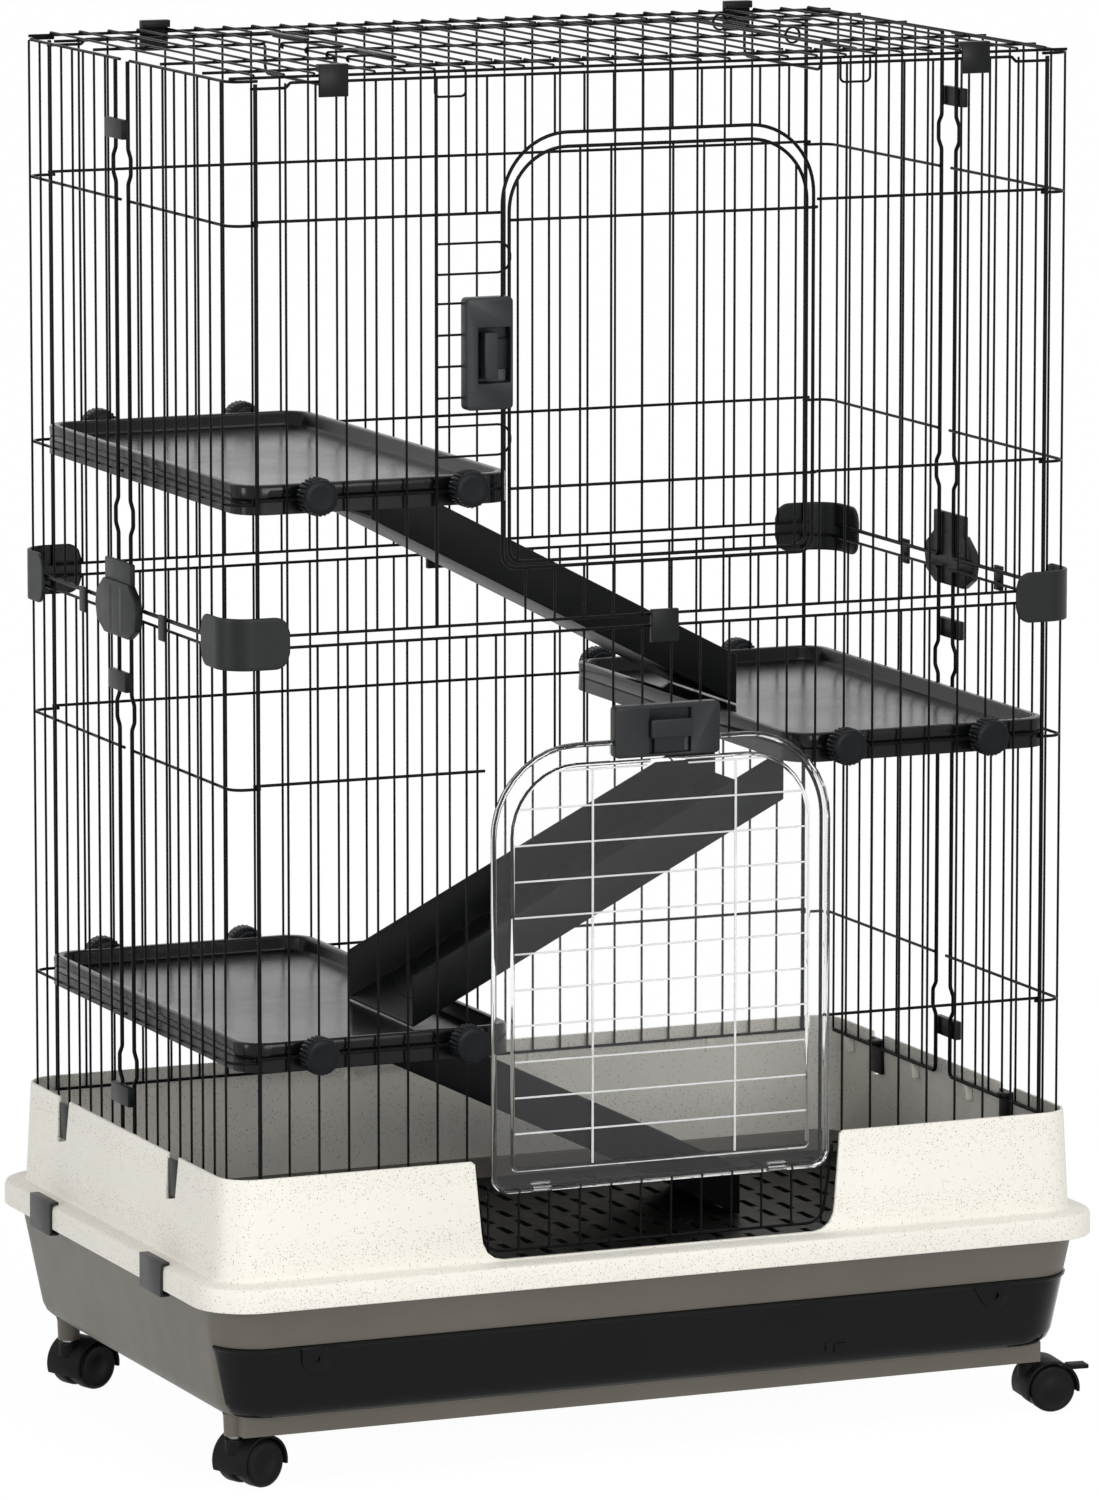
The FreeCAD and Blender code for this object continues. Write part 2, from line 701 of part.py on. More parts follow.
def lower_door():
    front = PANE_BACK_Y - S.pane_depth
    half = S.pane_half
    foot = S.pane_foot_z

    def arched_plate(inset, near, far):
        side = half - inset
        low = foot + inset
        high = S.pane_head_z - inset
        level = (low + high) / 2
        top = [Vector(-side, near, level), Vector(-side, near, high),
               Vector(side, near, high), Vector(side, near, level)]
        base = [Vector(side, near, level), Vector(side, near, low),
                Vector(-side, near, low), Vector(-side, near, level)]
        edges = bent_path(top, S.pane_head_bend - inset) + bent_path(base, S.pane_foot_bend)
        return Part.Face(Part.Wire(edges)).extrude(Vector(0, far - near, 0))

    plate = arched_plate(0, PANE_SKIN_Y, PANE_BACK_Y)
    rim = arched_plate(0, front, PANE_BACK_Y).cut(
        arched_plate(S.pane_thick, front - S.pane_thick, PANE_BACK_Y + S.pane_thick))
    ledge = arched_plate(S.pane_rim, front + S.pane_thick, PANE_BACK_Y).cut(
        arched_plate(S.pane_rim + S.pane_rib, front - S.pane_thick, PANE_BACK_Y + S.pane_thick))
    door = plate.fuse([rim, ledge])
    notch_z = S.pane_head_z - S.pane_notch_drop
    door = door.cut(box(S.catch_shift - S.pane_notch_half, S.catch_shift + S.pane_notch_half,
                        front - S.pane_thick, PANE_BACK_Y + S.pane_thick, notch_z,
                        S.pane_head_z + S.pane_thick))
    bolt_room = S.catch_bolt_half + S.pane_thick
    door = door.cut(box(S.catch_bolt_shift - bolt_room, S.catch_bolt_shift + bolt_room,
                        front - S.pane_thick, PANE_SKIN_Y,
                        S.catch_foot_z - S.catch_bolt_reach - S.pane_thick, notch_z))
    hooks = []
    hook_outer = S.loop_gauge / 2 + S.running_play + S.pane_hook_wall
    for x in (-S.pane_hook_x, S.pane_hook_x):
        low_x = x - S.pane_hook_width / 2
        axis_point = Vector(low_x, -HINGE_WIRE_Y, S.hinge_wire_z)
        barrel = Part.makeCylinder(hook_outer, S.pane_hook_width, axis_point, Vector(1, 0, 0))
        bridge = box(low_x, low_x + S.pane_hook_width, -HINGE_WIRE_Y, front,
                     S.hinge_wire_z - hook_outer, S.hinge_wire_z + hook_outer / 2)
        bore = Part.makeCylinder(S.loop_gauge / 2 + S.running_play, S.pane_hook_width, axis_point,
                                 Vector(1, 0, 0))
        hooks.append(barrel.fuse(bridge).cut(bore))
    return [door.fuse(hooks).removeSplitter()]


# Lower latch: its bolt slides down in front of the pane's skin

CATCH_BAY_Y = PANE_SKIN_Y - S.weld_play


def lower_latch_housing():
    low_x = S.catch_shift - S.catch_half
    high_x = S.catch_shift + S.catch_half
    points = [(low_x, S.catch_foot_z), (high_x, S.catch_foot_z),
              (high_x, S.catch_head_z), (low_x, S.catch_head_z)]
    front = LATCH_BACK_Y - S.catch_depth
    block = front_block(points, S.latch_edge, front, LATCH_BACK_Y)
    centre = S.catch_bolt_shift
    window = box(centre - S.catch_recess_half, centre + S.catch_recess_half, front - S.latch_wall,
                 CATCH_BAY_Y, S.catch_foot_z + S.latch_wall, S.catch_head_z - S.catch_recess_drop)
    bay = box(centre - S.catch_bolt_half - S.seat_play, centre + S.catch_bolt_half + S.seat_play,
              CATCH_BAY_Y, CATCH_BAY_Y - S.bolt_thick - 2 * S.seat_play,
              S.catch_foot_z - S.latch_wall, S.catch_head_z - S.catch_recess_drop)
    return block.cut(window).cut(bay)


def lower_latch_bolt():
    back = CATCH_BAY_Y - S.seat_play
    front = back - S.bolt_thick
    centre = S.catch_bolt_shift
    head = S.catch_bolt_head_z + S.catch_bolt_reach
    tongue = box(centre - S.catch_bolt_half, centre + S.catch_bolt_half, back, front,
                 S.catch_foot_z, head)
    knob = box(centre - S.catch_recess_half + S.seat_play,
               centre + S.catch_recess_half - S.seat_play,
               front, LATCH_BACK_Y - S.catch_depth - S.bolt_knob_proud,
               head - S.catch_knob_height, head)
    edges = [edge for edge in knob.Edges if edge.BoundBox.YMax < front - S.weld_play]
    return tongue.fuse(knob.makeFillet(S.latch_wall / 2, edges)).removeSplitter()


# Back panels

def back_panel(foot, head, levels):
    y = S.rail_plane_y
    wires = posts(1, foot, head)
    for z in levels:
        stepped = z == S.top_rail_z
        wires.append(stepped_rail(y, z) if stepped else rail(-RAIL_END_X, RAIL_END_X, y, z))
    for count in range(1, BAR_GAPS):
        wires.append(upright(bar_place(count), BAR_Y, foot, head, S.bar_gauge))
    return wires


# Side half panels: hoops that turn the corner to the posts, bars and a kinked seam wire

def side_half_panel(side, half, foot, head, hoops, kinks):
    """One half of one side. side is -1 left or 1 right, half is -1 front or 1 rear."""
    wires = []
    for z in hoops:
        points = [Vector(side * S.rail_plane_x, half * (S.seam_y - S.rail_gauge), z),
                  Vector(side * S.rail_plane_x, half * S.rail_plane_y, z),
                  Vector(side * (S.post_x - S.rail_overshoot), half * S.rail_plane_y, z)]
        wires.append(bent_wire(points, S.corner_bend, S.rail_gauge))
    step = (S.side_last_y - S.seam_y) / SIDE_BARS
    for number in range(SIDE_BARS):
        y = half * (S.side_last_y - number * step)
        wires.append(upright(side * BAR_X, y, foot + S.post_gauge / 2 + S.weld_play, head, S.bar_gauge))
    seam = [Vector(side * SEAM_X, half * S.seam_y, head)]
    for z in kinks:
        rise = S.kink_height / 2
        seam.append(Vector(side * SEAM_X, half * S.seam_y, z + rise))
        seam.append(Vector(side * SEAM_X, half * (S.seam_y + S.kink_spread), z + rise / 2))
        seam.append(Vector(side * SEAM_X, half * (S.seam_y + S.kink_spread), z - rise / 2))
        seam.append(Vector(side * SEAM_X, half * S.seam_y, z - rise))
    seam.append(Vector(side * SEAM_X, half * S.seam_y, foot))
    seam.append(Vector(side * SEAM_X, half * S.side_last_y, foot))
    wires.append(bent_wire(seam, S.kink_bend, S.post_gauge))
    return wires


# Clips that join the panels

CLIP_BACK_Y = POST_Y + S.post_gauge / 2 + S.seat_play
CLIP_BACK_X = SEAM_X + S.post_gauge / 2 + S.seat_play


def corner_clip():
    """A curved plate round the right front corner, over the ends of both tiers."""
    middle = (S.tier_foot_z + S.tier_head_z) / 2
    low = middle - S.corner_clip_height / 2
    high = middle + S.corner_clip_height / 2
    outer_x = CLIP_BACK_X + S.clip_wall
    outer_y = CLIP_BACK_Y + S.clip_wall
    bend = S.corner_clip_bend
    shell = rounded_block(-outer_x, outer_x, -outer_y, outer_y, bend, low, high).cut(
        rounded_block(-CLIP_BACK_X, CLIP_BACK_X, -CLIP_BACK_Y, CLIP_BACK_Y, bend - S.clip_wall,
                      low, high))
    keep = box(outer_x - S.corner_clip_front, outer_x, S.corner_clip_side - outer_y, -outer_y,
               low, high)
    return shell.common(keep)


def side_joint_clip(side):
    """The wide plate over both half panels and both tiers, with its collar above."""
    middle = (S.tier_foot_z + S.tier_head_z) / 2
    inner = side * CLIP_BACK_X
    outer = side * (CLIP_BACK_X + S.joint_plate_thick)
    plate = box(inner, outer, -S.joint_plate_width / 2, S.joint_plate_width / 2,
                middle - S.joint_plate_height / 2, middle + S.joint_plate_height / 2)
    collar = box(inner, side * (CLIP_BACK_X + S.joint_plate_thick - S.latch_wall),
                 -S.joint_collar_width / 2, S.joint_collar_width / 2,
                 middle + S.joint_plate_height / 2,
                 middle + S.joint_plate_height / 2 + S.joint_collar_height)
    upright_edges = [edge for edge in plate.Edges if edge.BoundBox.XLength > S.clip_wall]
    return plate.makeFillet(S.latch_edge, upright_edges).fuse(collar).removeSplitter()


def seam_clip(side, z):
    """A small block over the two seam wires."""
    return box(side * CLIP_BACK_X, side * (CLIP_BACK_X + S.seam_clip_thick),
               -S.seam_clip_length / 2, S.seam_clip_length / 2,
               z - S.seam_clip_height / 2, z + S.seam_clip_height / 2)


def rail_clips():
    """Small clips over the meeting rails: one front, one back and two on each side."""
    clips = []
    for side in (-1, 1):
        clips.append(box(S.rail_clip_x - S.rail_clip_width / 2, S.rail_clip_x + S.rail_clip_width / 2,
                         side * (BAR_Y + S.bar_gauge / 2 + S.weld_play),
                         side * (BAR_Y + S.bar_gauge / 2 + S.rail_clip_thick),
                         S.rail_clip_foot_z, S.rail_clip_head_z))
        for y in (S.side_hook_front_y, S.side_hook_rear_y):
            clips.append(box(side * CLIP_BACK_X, side * (CLIP_BACK_X + S.clip_wall),
                             y - S.side_hook_width / 2, y + S.side_hook_width / 2,
                             S.rail_clip_foot_z + S.clip_wall, S.rail_clip_head_z - S.clip_wall))
    return clips


ROOF_RAIL_Z = S.roof_seat_z + S.rail_gauge + S.weld_play
ROOF_BAR_Z = ROOF_RAIL_Z + (S.rail_gauge + S.bar_gauge) / 2 + S.weld_play
ROOF_TOP_Z = ROOF_BAR_Z + S.bar_gauge / 2


def roof_clips():
    """Hooks over the roof's edge and the top rails."""
    clips = []
    back_inner = BAR_Y + S.bar_gauge / 2 + S.weld_play
    outer = back_inner + S.clip_wall
    places = ((-1, -S.roof_clip_x), (-1, S.roof_clip_x), (1, S.roof_clip_back_left_x),
              (1, S.roof_clip_x))
    for side, x in places:
        low_x = x - S.roof_clip_width / 2
        high_x = x + S.roof_clip_width / 2
        top_z = ROOF_TOP_Z + S.weld_play
        plate = box(low_x, high_x, side * back_inner, side * outer, S.roof_clip_foot_z, top_z)
        lip_depth = 2 * S.clip_wall + S.rail_gauge
        lip = box(low_x, high_x, side * outer, side * (outer - lip_depth), top_z,
                  S.roof_clip_head_z)
        clips.append(plate.fuse(lip).removeSplitter())
    return clips


# Roof panel

def roof_panel():
    z = ROOF_RAIL_Z
    wires = []
    for y in (S.roof_edge_y, S.roof_rear_y, S.roof_front_y, -S.roof_edge_y):
        wires.append(rail(-S.roof_half_x, S.roof_half_x, y, z))
    for y in (S.roof_rear_cut_y, S.roof_front_cut_y):
        wires.append(rail(-S.roof_half_x, -S.roof_cut_x, y, z))
        wires.append(rail(S.roof_cut_x, S.roof_half_x, y, z))
    end_y = S.roof_edge_y + (S.rail_gauge + S.bar_gauge) / 2 + S.weld_play
    end_z = ROOF_RAIL_Z - S.roof_end_drop + S.rail_gauge / 2
    for count in range(BAR_GAPS + 1):
        x = bar_place(count)
        front_end = [Vector(x, -end_y, end_z), Vector(x, -end_y, ROOF_BAR_Z)]
        rear_end = [Vector(x, end_y, ROOF_BAR_Z), Vector(x, end_y, end_z)]
        if abs(x) > S.roof_cut_x:
            wires.append(bent_wire(front_end + rear_end, S.roof_end_bend, S.bar_gauge))
        else:
            front_stop = Vector(x, S.roof_front_y, ROOF_BAR_Z)
            rear_stop = Vector(x, S.roof_rear_y, ROOF_BAR_Z)
            wires.append(bent_wire(front_end + [front_stop], S.roof_end_bend, S.bar_gauge))
            wires.append(bent_wire([rear_stop] + rear_end, S.roof_end_bend, S.bar_gauge))
    return wires


def roof_loops():
    """The hanging wire loops: two wide ones beside the hatch and two small ones at the front."""
    wires = []
    high = ROOF_RAIL_Z - S.rail_gauge - S.weld_play
    for side in (-1, 1):
        x = side * S.roof_cut_x
        points = [Vector(x, S.roof_rear_cut_y, ROOF_RAIL_Z - S.rail_gauge / 2 - S.weld_play),
                  Vector(x, S.roof_rear_cut_y, ROOF_RAIL_Z - S.side_loop_drop),
                  Vector(x, S.roof_front_cut_y, ROOF_RAIL_Z - S.side_loop_drop),
                  Vector(x, S.roof_front_cut_y, ROOF_RAIL_Z - S.rail_gauge / 2 - S.weld_play)]
        wires.append(bent_wire(points, S.side_loop_bend, S.rail_gauge))
        low_x = side * S.pull_loop_x - S.pull_loop_width / 2
        high_x = side * S.pull_loop_x + S.pull_loop_width / 2
        y = -S.roof_edge_y + (S.rail_gauge + S.bar_gauge) / 2 + S.weld_play
        points = [Vector(low_x, y, high + S.rail_gauge), Vector(low_x, y, high - S.pull_loop_drop),
                  Vector(high_x, y, high - S.pull_loop_drop), Vector(high_x, y, high + S.rail_gauge)]
        wires.append(bent_wire(points, S.side_loop_bend / 2, S.bar_gauge))
    return wires


# Roof hatch with its rings, and the two loop catches

HATCH_AXIS_X = bar_place(22)
CATCH_AXIS_X = bar_place(5)


def roof_hatch():
    z = ROOF_RAIL_Z
    points = [Vector(S.hatch_left_x, S.hatch_front_y, z), Vector(S.hatch_right_x, S.hatch_front_y, z),
              Vector(S.hatch_right_x, S.hatch_rear_y, z), Vector(S.hatch_left_x, S.hatch_rear_y, z)]
    wires = [bent_wire(points, S.hatch_bend, S.rail_gauge, closed=True)]
    middle_y = (S.hatch_front_y + S.hatch_rear_y) / 2
    inner = S.rail_gauge / 2 + S.weld_play
    wires.append(rail(S.hatch_left_x + inner, S.hatch_right_x - inner, middle_y, z))
    for count in HATCH_BARS:
        x = bar_place(count)
        wires.append(bar(Vector(x, S.hatch_front_y, ROOF_BAR_Z), Vector(x, S.hatch_rear_y, ROOF_BAR_Z),
                         S.bar_gauge))
    return wires


def hatch_sleeves():
    """Two flat strips on the hatch's free edge."""
    low = ROOF_RAIL_Z + S.rail_gauge / 2 + S.weld_play
    places = ((S.hatch_left_x, S.sleeve_rear_y), (S.hatch_left_x, S.sleeve_front_y))
    return [box(x - S.sleeve_width / 2, x + S.sleeve_width / 2, y - S.sleeve_length / 2,
                y + S.sleeve_length / 2, low, low + S.sleeve_thick) for x, y in places]


def hatch_rings():
    """Pairs of rings that tie the hatch's edge wire to the roof bar beside it."""
    centre_x = (HATCH_AXIS_X + S.hatch_right_x) / 2
    centre_z = (ROOF_RAIL_Z + ROOF_BAR_Z) / 2
    rings = []
    for y in (S.ring_rear_y, S.ring_front_y):
        for turn in (0, 1):
            middle = Vector(centre_x, y + turn * (S.ring_gauge + S.weld_play), centre_z)
            rings.append(Part.makeTorus(S.ring_radius, S.ring_gauge / 2, middle, Vector(0, 1, 0)))
    return rings


def loop_catch(y, width, reach, lean):
    """A wire loop hooked round a roof bar, turned up from lying flat towards the hatch."""
    hook = S.bar_gauge + S.running_play
    axis = Vector(CATCH_AXIS_X, 0, ROOF_BAR_Z)
    wires = []
    low = y - width / 2
    high = y + width / 2
    level = ROOF_BAR_Z + hook
    points = [Vector(CATCH_AXIS_X, low, level), Vector(CATCH_AXIS_X + reach, low, level),
              Vector(CATCH_AXIS_X + reach, high, level), Vector(CATCH_AXIS_X, high, level)]
    curls = []
    for end_y in (low, high):
        centre = Vector(CATCH_AXIS_X, end_y, ROOF_BAR_Z)
        curls.append(Part.Arc(centre + Vector(0, 0, -hook), centre + Vector(-hook, 0, 0),
                              centre + Vector(0, 0, hook)))
    back_curl = Part.Arc(curls[1].EndPoint, Vector(CATCH_AXIS_X - hook, high, ROOF_BAR_Z),
                         curls[1].StartPoint)
    edges = [curls[0].toShape()] + bent_path(points, S.catch_bend) + [back_curl.toShape()]
    ring = Part.Wire(Part.makeCircle(S.bar_gauge / 2, curls[0].StartPoint, Vector(-1, 0, 0)))
    wire = Part.Wire(edges).makePipeShell([ring], True, False)
    return turned(wire, axis, Vector(0, -1, 0), lean)


# Splash guard, its cut-out and slots

def urine_guard():
    wall = S.guard_wall
    foot = (S.guard_foot_half_x, S.guard_foot_half_y, S.guard_corner, S.tub_head_z)
    head = (S.guard_half_x, S.guard_half_y, S.guard_corner, S.guard_head_z)
    inner_foot = (foot[0] - wall, foot[1] - wall, S.guard_corner - wall, foot[3])
    inner_head = (head[0] - wall, head[1] - wall, S.guard_corner - wall, head[3])
    shell = tapered_block(foot, head).cut(tapered_block(inner_foot, inner_head))
    flange = rounded_block(-S.flange_half_x, S.flange_half_x, -S.flange_half_y, S.flange_half_y,
                           S.flange_corner, S.flange_foot_z, S.flange_top_z)
    under = rounded_block(wall - S.flange_half_x, S.flange_half_x - wall,
                          wall - S.flange_half_y, S.flange_half_y - wall,
                          S.flange_corner - wall, S.flange_foot_z, S.flange_top_z - wall)
    flange = flange.cut(under).cut(tapered_block(inner_foot, inner_head))
    body = shell.fuse(flange).removeSplitter()
    over = S.guard_head_z + wall
    points = [(-S.cut_foot_half, S.cut_foot_z), (S.cut_foot_half, S.cut_foot_z),
              (S.cut_head_half, over), (-S.cut_head_half, over)]
    outline = [Vector(x, -S.guard_foot_half_y - wall, z) for x, z in points]
    path = bent_path([outline[3], outline[0], outline[1], outline[2]], S.cut_bend)
    closing = Part.LineSegment(outline[2], outline[3]).toShape()
    cutter = Part.Face(Part.Wire(path + [closing])).extrude(
        Vector(0, S.guard_foot_half_y - S.guard_half_y + S.guard_corner, 0))
    body = body.cut(cutter)
    for side in (-1, 1):
        for y in (S.slot_front_y, S.slot_rear_y):
            slot = box(side * (S.guard_half_x - 2 * wall), side * (S.guard_foot_half_x + wall),
                       y - S.slot_width / 2, y + S.slot_width / 2, S.slot_foot_z, over)
            body = body.cut(slot)
    return body


def guard_hold_clips():
    """Black spring clips in the guard's side slots, hooked over the side foot rails."""
    clips = []
    head = S.foot_rail_z + S.post_gauge / 2 + S.seat_play + S.hold_clip_thick
    for side in (-1, 1):
        for y, hook_y in ((S.slot_front_y, S.hold_hook_front_y), (S.slot_rear_y, S.hold_hook_rear_y)):
            outer = side * (CLIP_BACK_X + S.hold_clip_thick)
            inner_face = side * (SEAM_X - S.post_gauge / 2 - S.seat_play)
            low_y = y - S.hold_clip_width / 2
            high_y = y + S.hold_clip_width / 2
            leg = box(side * CLIP_BACK_X, outer, low_y, high_y, S.hold_clip_foot_z, head)
            hook = box(outer, inner_face - side * S.hold_clip_thick, hook_y - S.hold_hook_width / 2,
                       hook_y + S.hold_hook_width / 2, head - S.hold_clip_thick, head)
            clips.append(leg.fuse(hook).removeSplitter())
    return clips


def flange_clips():
    """Clips over the guard's flange that hold it to the tub."""
    clips = []
    thick = S.flange_clip_thick
    outer = S.flange_half_x + S.weld_play
    for side in (-1, 1):
        for y in (S.flange_clip_front_y, S.flange_clip_rear_y):
            low_y = y - S.flange_clip_width / 2
            high_y = y + S.flange_clip_width / 2
            leg = box(side * outer, side * (outer + thick), low_y, high_y, S.flange_clip_foot_z,
                      S.flange_top_z + S.weld_play + thick)
            top = box(side * (outer + thick), side * (outer - S.flange_clip_tongue / 2), low_y,
                      high_y, S.flange_top_z + S.weld_play, S.flange_top_z + S.weld_play + thick)
            foot = box(side * (outer + thick), side * (outer - S.flange_clip_tongue / 2), low_y,
                       high_y, S.flange_clip_foot_z, S.flange_clip_foot_z + thick)
            clips.append(leg.fuse([top, foot]).removeSplitter())
    return clips


# Tub

def tub_half_at(z):
    """Half widths of the tub's outside at a height."""
    share = (z - S.tub_foot_z) / (S.tub_head_z - S.tub_foot_z)
    half_x = S.tub_foot_half_x + share * (S.tub_half_x - S.tub_foot_half_x)
    half_y = S.tub_foot_half_y + share * (S.tub_half_y - S.tub_foot_half_y)
    return half_x, half_y


def tub_slice(low_z, high_z, inset):
    """A tapered block of the tub's outline between two heights, drawn in by an inset."""
    low_x, low_y = tub_half_at(low_z)
    high_x, high_y = tub_half_at(high_z)
    corner = S.tub_corner - inset
    return tapered_block((low_x - inset, low_y - inset, corner, low_z),
                         (high_x - inset, high_y - inset, corner, high_z))


def tub_block(inset):
    """The tub's whole outline, drawn in by an inset, with the foot's edges rounded."""
    low = S.tub_foot_z + inset
    block = tub_slice(low, S.tub_head_z, inset)
    foot = [edge for edge in block.Edges if edge.BoundBox.ZMax < low + S.weld_play]
    return block.makeFillet(S.tub_foot_bend - inset, foot)


def castor_places():
    """Stem positions: front left, front right, back left, back right."""
    return {"front_left": (-S.castor_x, -S.castor_front_y), "front_right": (S.castor_x, -S.castor_front_y),
            "back_left": (-S.castor_x, S.castor_rear_y), "back_right": (S.castor_x, S.castor_rear_y)}


def base_tub():
    wall = S.tub_wall
    shell = tub_block(0).cut(tub_block(S.tub_floor))
    rim = rounded_block(-S.tub_half_x - S.tub_rim_out, S.tub_half_x + S.tub_rim_out,
                        -S.tub_half_y - S.tub_rim_out, S.tub_half_y + S.tub_rim_out,
                        S.tub_corner, S.tub_head_z - wall, S.tub_head_z)
    rim = rim.cut(rounded_block(-S.floor_half_x - wall, S.floor_half_x + wall,
                                -S.floor_half_y - wall, S.floor_half_y + wall,
                                S.floor_corner, S.tub_head_z - wall, S.tub_head_z))
    ledge_z = S.floor_z - S.floor_thick - S.weld_play
    ledge = tub_slice(ledge_z - wall, ledge_z, wall / 2).cut(
        rounded_block(-S.floor_half_x + S.tub_ledge, S.floor_half_x - S.tub_ledge,
                      -S.floor_half_y + S.tub_ledge, S.floor_half_y - S.tub_ledge,
                      S.floor_corner - S.tub_ledge, ledge_z - wall, ledge_z))
    front_rail = box(-S.tub_rail_half_x, S.tub_rail_half_x, -S.tub_rail_front_y,
                     -S.tub_rail_front_y + S.tub_rail_depth, S.tub_rail_foot_z,
                     S.tub_foot_z + S.tub_floor)
    body = shell.fuse([rim, ledge, front_rail])
    mouth = box(-S.tub_half_x - wall, S.tub_half_x + wall, -S.tub_half_y - S.tub_rim_out,
                -S.drawer_front_y, S.tub_foot_z + S.tub_floor, S.drawer_head_z + S.seat_play)
    body = body.cut(mouth)
    sockets = []
    for x, y in castor_places().values():
        height = S.tub_foot_z - S.socket_foot_z + S.tub_floor
        sockets.append(Part.makeCylinder(S.socket_size / 2, height, Vector(x, y, S.socket_foot_z)))
    body = body.fuse(sockets)
    for x, y in castor_places().values():
        bore = Part.makeCylinder(S.stem_size / 2 + S.weld_play, S.tub_foot_z - S.socket_foot_z,
                                 Vector(x, y, S.socket_foot_z))
        body = body.cut(bore)
    return body.removeSplitter()


# Drawer: a bowed front that completes the tub's corners, with an open tray behind it

def drawer_tray():
    wall = S.drawer_wall
    low = S.drawer_foot_z
    high = S.drawer_head_z
    front = tub_block(0).cut(tub_block(wall)).common(box(-S.tub_half_x, S.tub_half_x, -S.tub_half_y,
                             -S.drawer_front_y - S.seat_play, low, high))
    face_back = -S.tub_foot_half_y + S.tub_foot_bend / 2
    floor = S.tub_foot_z + S.tub_floor + S.seat_play
    tray = rounded_block(-S.drawer_half_x, S.drawer_half_x, face_back, S.drawer_back_y,
                         S.drawer_corner, floor, S.drawer_wall_z)
    hollow = rounded_block(wall - S.drawer_half_x, S.drawer_half_x - wall, face_back + wall,
                           S.drawer_back_y - wall, S.drawer_corner - wall, floor + wall,
                           S.drawer_wall_z)
    tabs = []
    for side in (-1, 1):
        x = side * S.pull_x
        plate = tub_slice(S.pull_foot_z, S.pull_head_z, -S.pull_proud).common(
            box(x - S.pull_width / 2, x + S.pull_width / 2, -S.tub_half_y - S.pull_proud,
                -tub_half_at(S.pull_foot_z)[1] + wall / 2, S.pull_foot_z, S.pull_head_z))
        hole_z = (S.pull_foot_z + S.pull_head_z) / 2
        hole = Part.makeCylinder(S.pull_hole / 2, S.pull_proud * 2,
                                 Vector(x, -S.tub_half_y - S.pull_proud, hole_z), Vector(0, 1, 0))
        tabs.append(plate.cut(hole))
    return front.fuse([tray.cut(hollow)] + tabs).removeSplitter()


# Floor grid

def floor_grid():
    low = S.floor_z - S.floor_thick
    plate = rounded_block(-S.floor_half_x, S.floor_half_x, -S.floor_half_y, S.floor_half_y,
                          S.floor_corner, low, S.floor_z)
    outline = []
    columns = int((S.floor_half_x - S.floor_slot_pitch_x) / S.floor_slot_pitch_x)
    rows = int((S.floor_half_y - S.floor_slot_pitch_y) / S.floor_slot_pitch_y)
    half_width = S.floor_slot_width / 2
    half_length = S.floor_slot_length / 2
    for column in range(-columns, columns + 1):
        stagger = S.floor_slot_pitch_y / 2 if column % 2 else 0
        for row in range(-rows, rows + 1):
            x = column * S.floor_slot_pitch_x
            y = row * S.floor_slot_pitch_y + stagger
            if abs(y) + half_length > S.floor_half_y - S.tub_ledge:
                continue
            outline.append(Part.makePolygon([
                Vector(x - half_width, y - half_length, low), Vector(x - half_width, y + half_length, low),
                Vector(x + half_width, y + half_length, low), Vector(x + half_width, y - half_length, low),
                Vector(x - half_width, y - half_length, low)]))
    outer = rounded_outline(-S.floor_half_x, S.floor_half_x, -S.floor_half_y, S.floor_half_y,
                            S.floor_corner, low)
    face = Part.Face([outer] + outline)
    return face.extrude(Vector(0, 0, plate.BoundBox.ZLength))


# Sketch helpers for the bodies below

def origin_plane(body, role):
    return next(item for item in body.Origin.OriginFeatures if item.Role == role)


def new_sketch(body, name, role):
    sketch = body.newObject("Sketcher::SketchObject", name)
    sketch.AttachmentSupport = (origin_plane(body, role), "")
    sketch.MapMode = "FlatFace"
    return sketch


def add_circle(sketch, centre, radius_rule):
    """A circle whose radius follows a rule on the sheet."""
    index = sketch.addGeometry(Part.Circle(centre, Vector(0, 0, 1), 1))
    rule = sketch.addConstraint(Sketcher.Constraint("Radius", index, 1))
    sketch.setExpression("Constraints[%d]" % rule, radius_rule)
    return index


def add_polygon(sketch, corner_rules):
    """A closed outline whose corners follow pairs of rules on the sheet."""
    count = len(corner_rules)
    first_guess = [Vector(math.cos(2 * math.pi * n / count), math.sin(2 * math.pi * n / count), 0)
                   for n in range(count)]
    lines = [sketch.addGeometry(Part.LineSegment(first_guess[n], first_guess[(n + 1) % count]))
             for n in range(count)]
    for n in range(count):
        sketch.addConstraint(Sketcher.Constraint("Coincident", lines[n], 2, lines[(n + 1) % count], 1))
    for line, (rule_x, rule_y) in zip(lines, corner_rules):
        for kind, rule in (("DistanceX", rule_x), ("DistanceY", rule_y)):
            index = sketch.addConstraint(Sketcher.Constraint(kind, -1, 1, line, 1, 1))
            sketch.setExpression("Constraints[%d]" % index, rule)
    return lines


# Castors: wheels turned in one piece with their axle

def wheel_body(name):
    """A pair of wheels on one axle along X, turned from a profile."""
    body = doc.addObject("PartDesign::Body", name)
    sketch = new_sketch(body, name + "_profile", "XZ_Plane")
    wheel = "Sizes.wheel_size / 2"
    axle = "Sizes.axle_size / 2"
    outer = "Sizes.wheel_span / 2"
    inner = "Sizes.wheel_span / 2 - Sizes.wheel_width"
    add_polygon(sketch, [("-(%s)" % outer, "0"), ("-(%s)" % outer, wheel), ("-(%s)" % inner, wheel),
                         ("-(%s)" % inner, axle), (inner, axle), (inner, wheel), (outer, wheel),
                         (outer, "0")])
    turn = body.newObject("PartDesign::Revolution", name + "_turned")
    turn.Profile = sketch
    turn.ReferenceAxis = (sketch, ["H_Axis"])
    turn.Angle = 360
    return body


